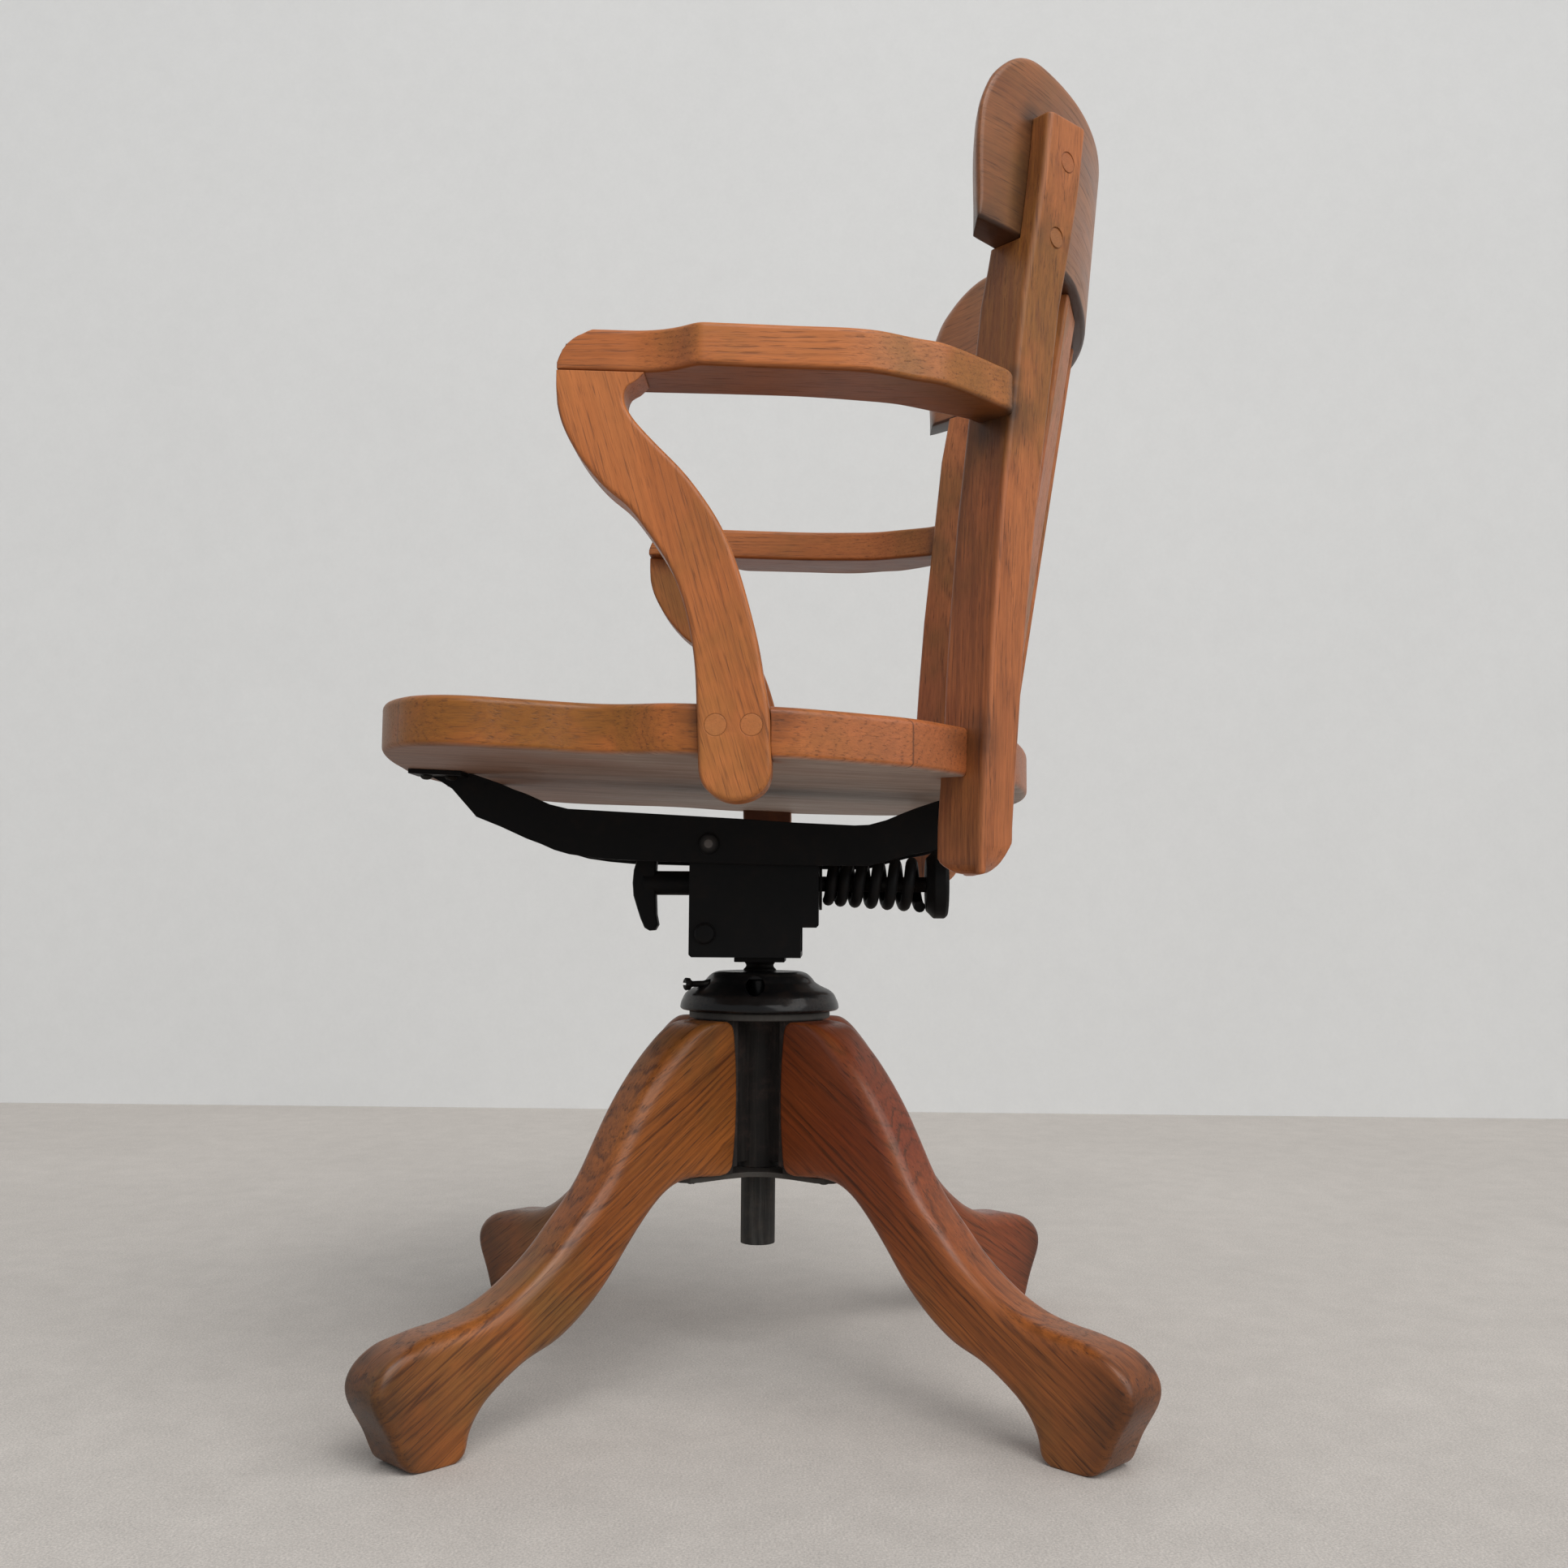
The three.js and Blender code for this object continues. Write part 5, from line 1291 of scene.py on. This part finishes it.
def build_screws():
    for side, s in LEFT_RIGHT:
        for i, (x, y) in enumerate(((64, -251), (64, -232), (64, 160), (64, 180))):
            z = seat_bottom(y) - 3.6 - 0.55
            prof = [(0, z - 3), (1.5, z - 2.9), (2.9, z - 2.5), (4.0, z - 1.7), (4.7, z - 0.7), (4.8, z), (2.2, z), (2.2, z + 20), (0, z + 23)]
            V, F = lathe(prof, 32)
            ob = make_object(f"rail_screw_{side}_{i + 1}_piece", V + (s * x, y, 0), F)
            t = 0.6 + 1.1 * i + (0.5 if s > 0 else 0)
            c, d = math.cos(t), math.sin(t)
            pts = [(s * x + a * c - b * d, y + a * d + b * c, z - 5 + e) for a in (-6, 6) for b in (-0.55, 0.55) for e in (0, 3.3)]
            cut(ob, make_object("cutter", pts, [[0, 1, 3, 2], [4, 6, 7, 5], [0, 4, 5, 1], [2, 3, 7, 6], [0, 2, 6, 4], [1, 5, 7, 3]]))
            set_float(ob, "edge", np.zeros(len(ob.data.vertices)))
            finish_piece(ob, DARK_STEEL, "seat", f"rail_screw_{side}_{i + 1}", angle=35)
    for i, angle in enumerate((-45, 45, 135, -135)):
        a = math.radians(angle + BASE_YAW)
        x, y = 70 * math.cos(a), 70 * math.sin(a)
        prof = [(0, 152.2), (2.4, 152.35), (3.9, 153.0), (4.8, 154.0), (5.2, 154.7), (2.4, 154.7), (2.4, 173), (0, 175.5)]
        V, F = lathe(prof, 32)
        ob = make_object(f"plate_screw_{i + 1}_piece", V + (x, y, 0), F)
        t = 0.4 + 0.9 * i
        c, d = math.cos(t), math.sin(t)
        pts = [(x + u * c - b * d, y + u * d + b * c, 150 + e) for u in (-6, 6) for b in (-0.6, 0.6) for e in (0, 3.4)]
        cut(ob, make_object("cutter", pts, [[0, 1, 3, 2], [4, 6, 7, 5], [0, 4, 5, 1], [2, 3, 7, 6], [0, 2, 6, 4], [1, 5, 7, 3]]))
        set_float(ob, "edge", np.zeros(len(ob.data.vertices)))
        finish_piece(ob, DARK_STEEL, "base", f"plate_screw_{i + 1}", angle=35)


def build_turned():
    rows = [
        ("guard_tube", [(12.2, 100), (13.3, 100), (13.3, 175), (12.2, 175), (12.2, 100)], GUARD_IRON, "base", "worn_steel", 0.2, "z", (0, 0, 0)),
        ("thrust_washer", [(12.4, 278.7), (26, 278.7), (26, 280.8), (12.4, 280.8), (12.4, 278.7)], STEEL, "collar", "worn_steel", 0.3, "z", (0, 0, 0)),
        ("spindle_screw", [(0, 112), (9.5, 112), (11.5, 114), (11.5, 303), (10.0, 307), (9.6, 312), (10.0, 316), (11.5, 319), (11.5, 324.3), (15, 324.3), (15, 327), (12.5, 329), (0, 330)], DARK_STEEL, "spindle", "worn_steel", 0.3, "z", (0, 0, 0)),
        ("neck_nut", [(10.2, 308.9), (13.2, 308.9), (12.6, 310.2), (11.2, 311.6), (10.7, 312.8), (10.9, 313.8), (11.8, 315.0), (12.0, 315.7), (10.2, 315.7), (10.2, 308.9)], DARK_STEEL, "spindle", "worn_steel", 0.3, "z", (0, 0, 0)),
        ("spring_washer", [(6.6, 46.3), (20.5, 46.3), (20.5, 48.6), (6.6, 48.6), (6.6, 46.3)], BLACK_IRON, "spindle", "black_iron", 0.4, "y", (0, 0, ROD_Z)),
        ("spring_end_plate", [(6.3, 130), (20.5, 130), (26.5, 136), (26.5, 144.5), (24, 147), (14, 147), (14, 139), (6.3, 139), (6.3, 130)], BLACK_IRON, "rod", "black_iron", 0.8, "y", (0, 0, ROD_Z)),
        ("tension_rod", [(0, -90), (5, -90), (6, -89), (6, 145.5), (5, 146.5), (0, 146.5)], DARK_STEEL, "rod", "worn_steel", 0.3, "y", (0, 0, ROD_Z)),
        ("cross_bolt", [(0, -52.5), (4.2, -52.5), (5, -51.7), (5, 45.3), (8, 45.3), (8, 47.6), (6.6, 49.6), (0, 50.6)], BLACK_IRON, "spindle", "black_iron", 0.5, "x", (0, BOLT[0], BOLT[1])),
        ("pivot_pin", [(0, -56.6), (2.7, -56.5), (3.4, -55.8), (7.6, -55.4), (8.3, -53.9), (6, -53.9), (6, 53.9), (8.3, 53.9), (7.6, 55.4), (3.4, 55.8), (2.7, 56.5), (0, 56.6)], PIN_IRON, "seat", "black_iron", 0.7, "x", (0, PIVOT[0], PIVOT[1])),
    ]
    for name, profile, material, body, slot, ease, axis, at in rows:
        V, F = lathe(rounded_profile(profile, ease), 72, axis, at)
        ob = make_object(name + "_piece", V, F)
        P = millimetres(ob)
        # the end of the pivot pin is lightened by the pin's glint: a painted highlight on a peened bare end
        peened_end_and_glint = np.clip((np.abs(P[:, 0]) - 55.6) / 0.6, 0, 1) if name == "pivot_pin" else np.zeros(len(P))
        set_float(ob, "edge", peened_end_and_glint)
        finish_piece(ob, material, body, name, angle=40)


build_legs()
build_posts()
build_arms()
build_supports()
build_seat()
build_crest()
build_slats()
build_collar()
build_spring()
build_screws()
build_turned()
hub = refined("hub_column", HUB_IRON, "base", width=1.0)
add_solid(hub, *corner_fillers())
P = millimetres(hub)
# the flange rim counts as edge: chipped, and lightened by the glint as a painted highlight
set_float(hub, "edge", (np.hypot(P[:, 0], P[:, 1]) > 50) * np.clip((P[:, 2] - 272) / 2, 0, 1))
plate = refined("spider_plate", HUB_IRON, "base", width=0.7)
# the plate's rim counts as edge: lightened by the glint as a painted highlight with some wear
edge_from_normals(plate, [(0, 0, 1)])
refined("bracket_plate", BLACK_IRON, "spindle", width=0.6)
refined("tilt_bracket", BLACK_IRON, "spindle", width=0.8)
refined("cross_bolt_nut", BLACK_IRON, "spindle", width=0.5)
refined("rod_nut", DARK_STEEL, "rod", width=0.5)
refined("tension_handle", BLACK_IRON, "handle", width=1.2)
refined("tilt_yoke", DARK_STEEL, "seat", width=0.6)
refined("seat_rail_left", BLACK_IRON, "seat", width=0.8)
refined("seat_rail_right", BLACK_IRON, "seat", width=0.8)


# ---------------------------------------------------------------- floor, wall, light and camera
def plain(name, colour, rough, vary, speckle):
    m = Material(name, Specular_IOR_Level=0.25)
    p = m.object_coords()
    a = m.noise(p, scale=3.0, detail=4.0, roughness=0.6)
    b = m.noise(p, scale=160.0, detail=3.0, roughness=0.6)
    grit = m.noise(p, scale=650.0, detail=2.0, roughness=0.7)
    stain = m.noise(m.vec("ADD", p, (3.0, 1.0, 0.0)), scale=26.0, detail=4.0, roughness=0.65)
    c = m.times(colour, m.span(a, 0.3, 0.7, 1 - vary, 1 + vary))
    c = m.times(c, m.span(stain, 0.32, 0.68, 1 - vary * 1.2, 1 + vary * 1.2))
    c = m.times(c, m.span(b, 0.3, 0.7, 1 - vary, 1 + vary))
    m.set("Base Color", m.times(c, m.span(grit, 0.25, 0.75, 1 - speckle, 1 + speckle)))
    m.set("Roughness", rough)
    return m.material


def sheet_of(name, corners, material):
    mesh = bpy.data.meshes.new(name)
    mesh.from_pydata(corners, [], [[0, 1, 2, 3]])
    ob = bpy.data.objects.new(name, mesh)
    bpy.context.scene.collection.objects.link(ob)
    mesh.materials.append(material)
    return ob


WALL_X = -1.59
sheet_of("floor", [(WALL_X, -6, 0), (6, -6, 0), (6, 6, 0), (WALL_X, 6, 0)], plain("floor_look", srgb(186, 180, 174)[:3], 0.75, 0.035, 0.26))
sheet_of("wall", [(WALL_X, -6, 0), (WALL_X, 6, 0), (WALL_X, 6, 3.4), (WALL_X, -6, 3.4)], plain("wall_look", srgb(212, 212, 211)[:3], 0.8, 0.010, 0.0))

world = bpy.data.worlds.new("daylight")
world.use_nodes = True
world.node_tree.nodes["Background"].inputs[0].default_value = (0.93, 0.965, 1.0, 1.0)
world.node_tree.nodes["Background"].inputs[1].default_value = 0.54
bpy.context.scene.world = world


def area(name, at, towards, size, power, colour=(1, 1, 1)):
    light = bpy.data.lights.new(name, "AREA")
    light.shape, light.size, light.energy, light.color = "SQUARE", size, power, colour
    ob = bpy.data.objects.new(name, light)
    ob.location = at
    ob.rotation_mode = "QUATERNION"
    ob.rotation_quaternion = (Vector(towards) - Vector(at)).to_track_quat("-Z", "Y")
    bpy.context.scene.collection.objects.link(ob)
    return ob


sun = bpy.data.lights.new("window", "SUN")
sun.energy, sun.angle, sun.color = 1.65, math.radians(58), (1.0, 0.99, 0.975)
sun_object = bpy.data.objects.new("window", sun)
sun_object.rotation_mode = "QUATERNION"
sun_object.rotation_quaternion = Vector((-0.9, -1.0, -0.95)).to_track_quat("-Z", "Y")
bpy.context.scene.collection.objects.link(sun_object)
area("lamp", (2.3, 0.45, 3.45), (0, 0, 0.3), 1.9, 50, (1.0, 0.99, 0.975))

yaw, pitch, roll = math.atan(54 / 1950), math.atan(159 / 1950), math.radians(0.4)
h = np.array([-math.cos(yaw), -math.sin(yaw), 0])
r0 = np.array([-math.sin(yaw), math.cos(yaw), 0])
zu = np.array([0, 0, 1.0])
d = math.cos(pitch) * h + math.sin(pitch) * zu
u0 = -math.sin(pitch) * h + math.cos(pitch) * zu
right = math.cos(roll) * r0 + math.sin(roll) * u0
up = -math.sin(roll) * r0 + math.cos(roll) * u0
cam = bpy.data.cameras.new("camera")
cam.sensor_fit, cam.sensor_width, cam.lens = "HORIZONTAL", 36, 36 * 1950 / 1932
cam.clip_start, cam.clip_end = 0.01, 50
camera = bpy.data.objects.new("camera", cam)
camera.matrix_world = Matrix([
    (right[0], up[0], -d[0], 1.250 + OFFSET[0]),
    (right[1], up[1], -d[1], 0.0526 + OFFSET[1]),
    (right[2], up[2], -d[2], 0.354 + OFFSET[2]),
    (0, 0, 0, 1),
])
bpy.context.scene.collection.objects.link(camera)
bpy.context.scene.camera = camera
bpy.context.scene.view_settings.view_transform = "Standard"
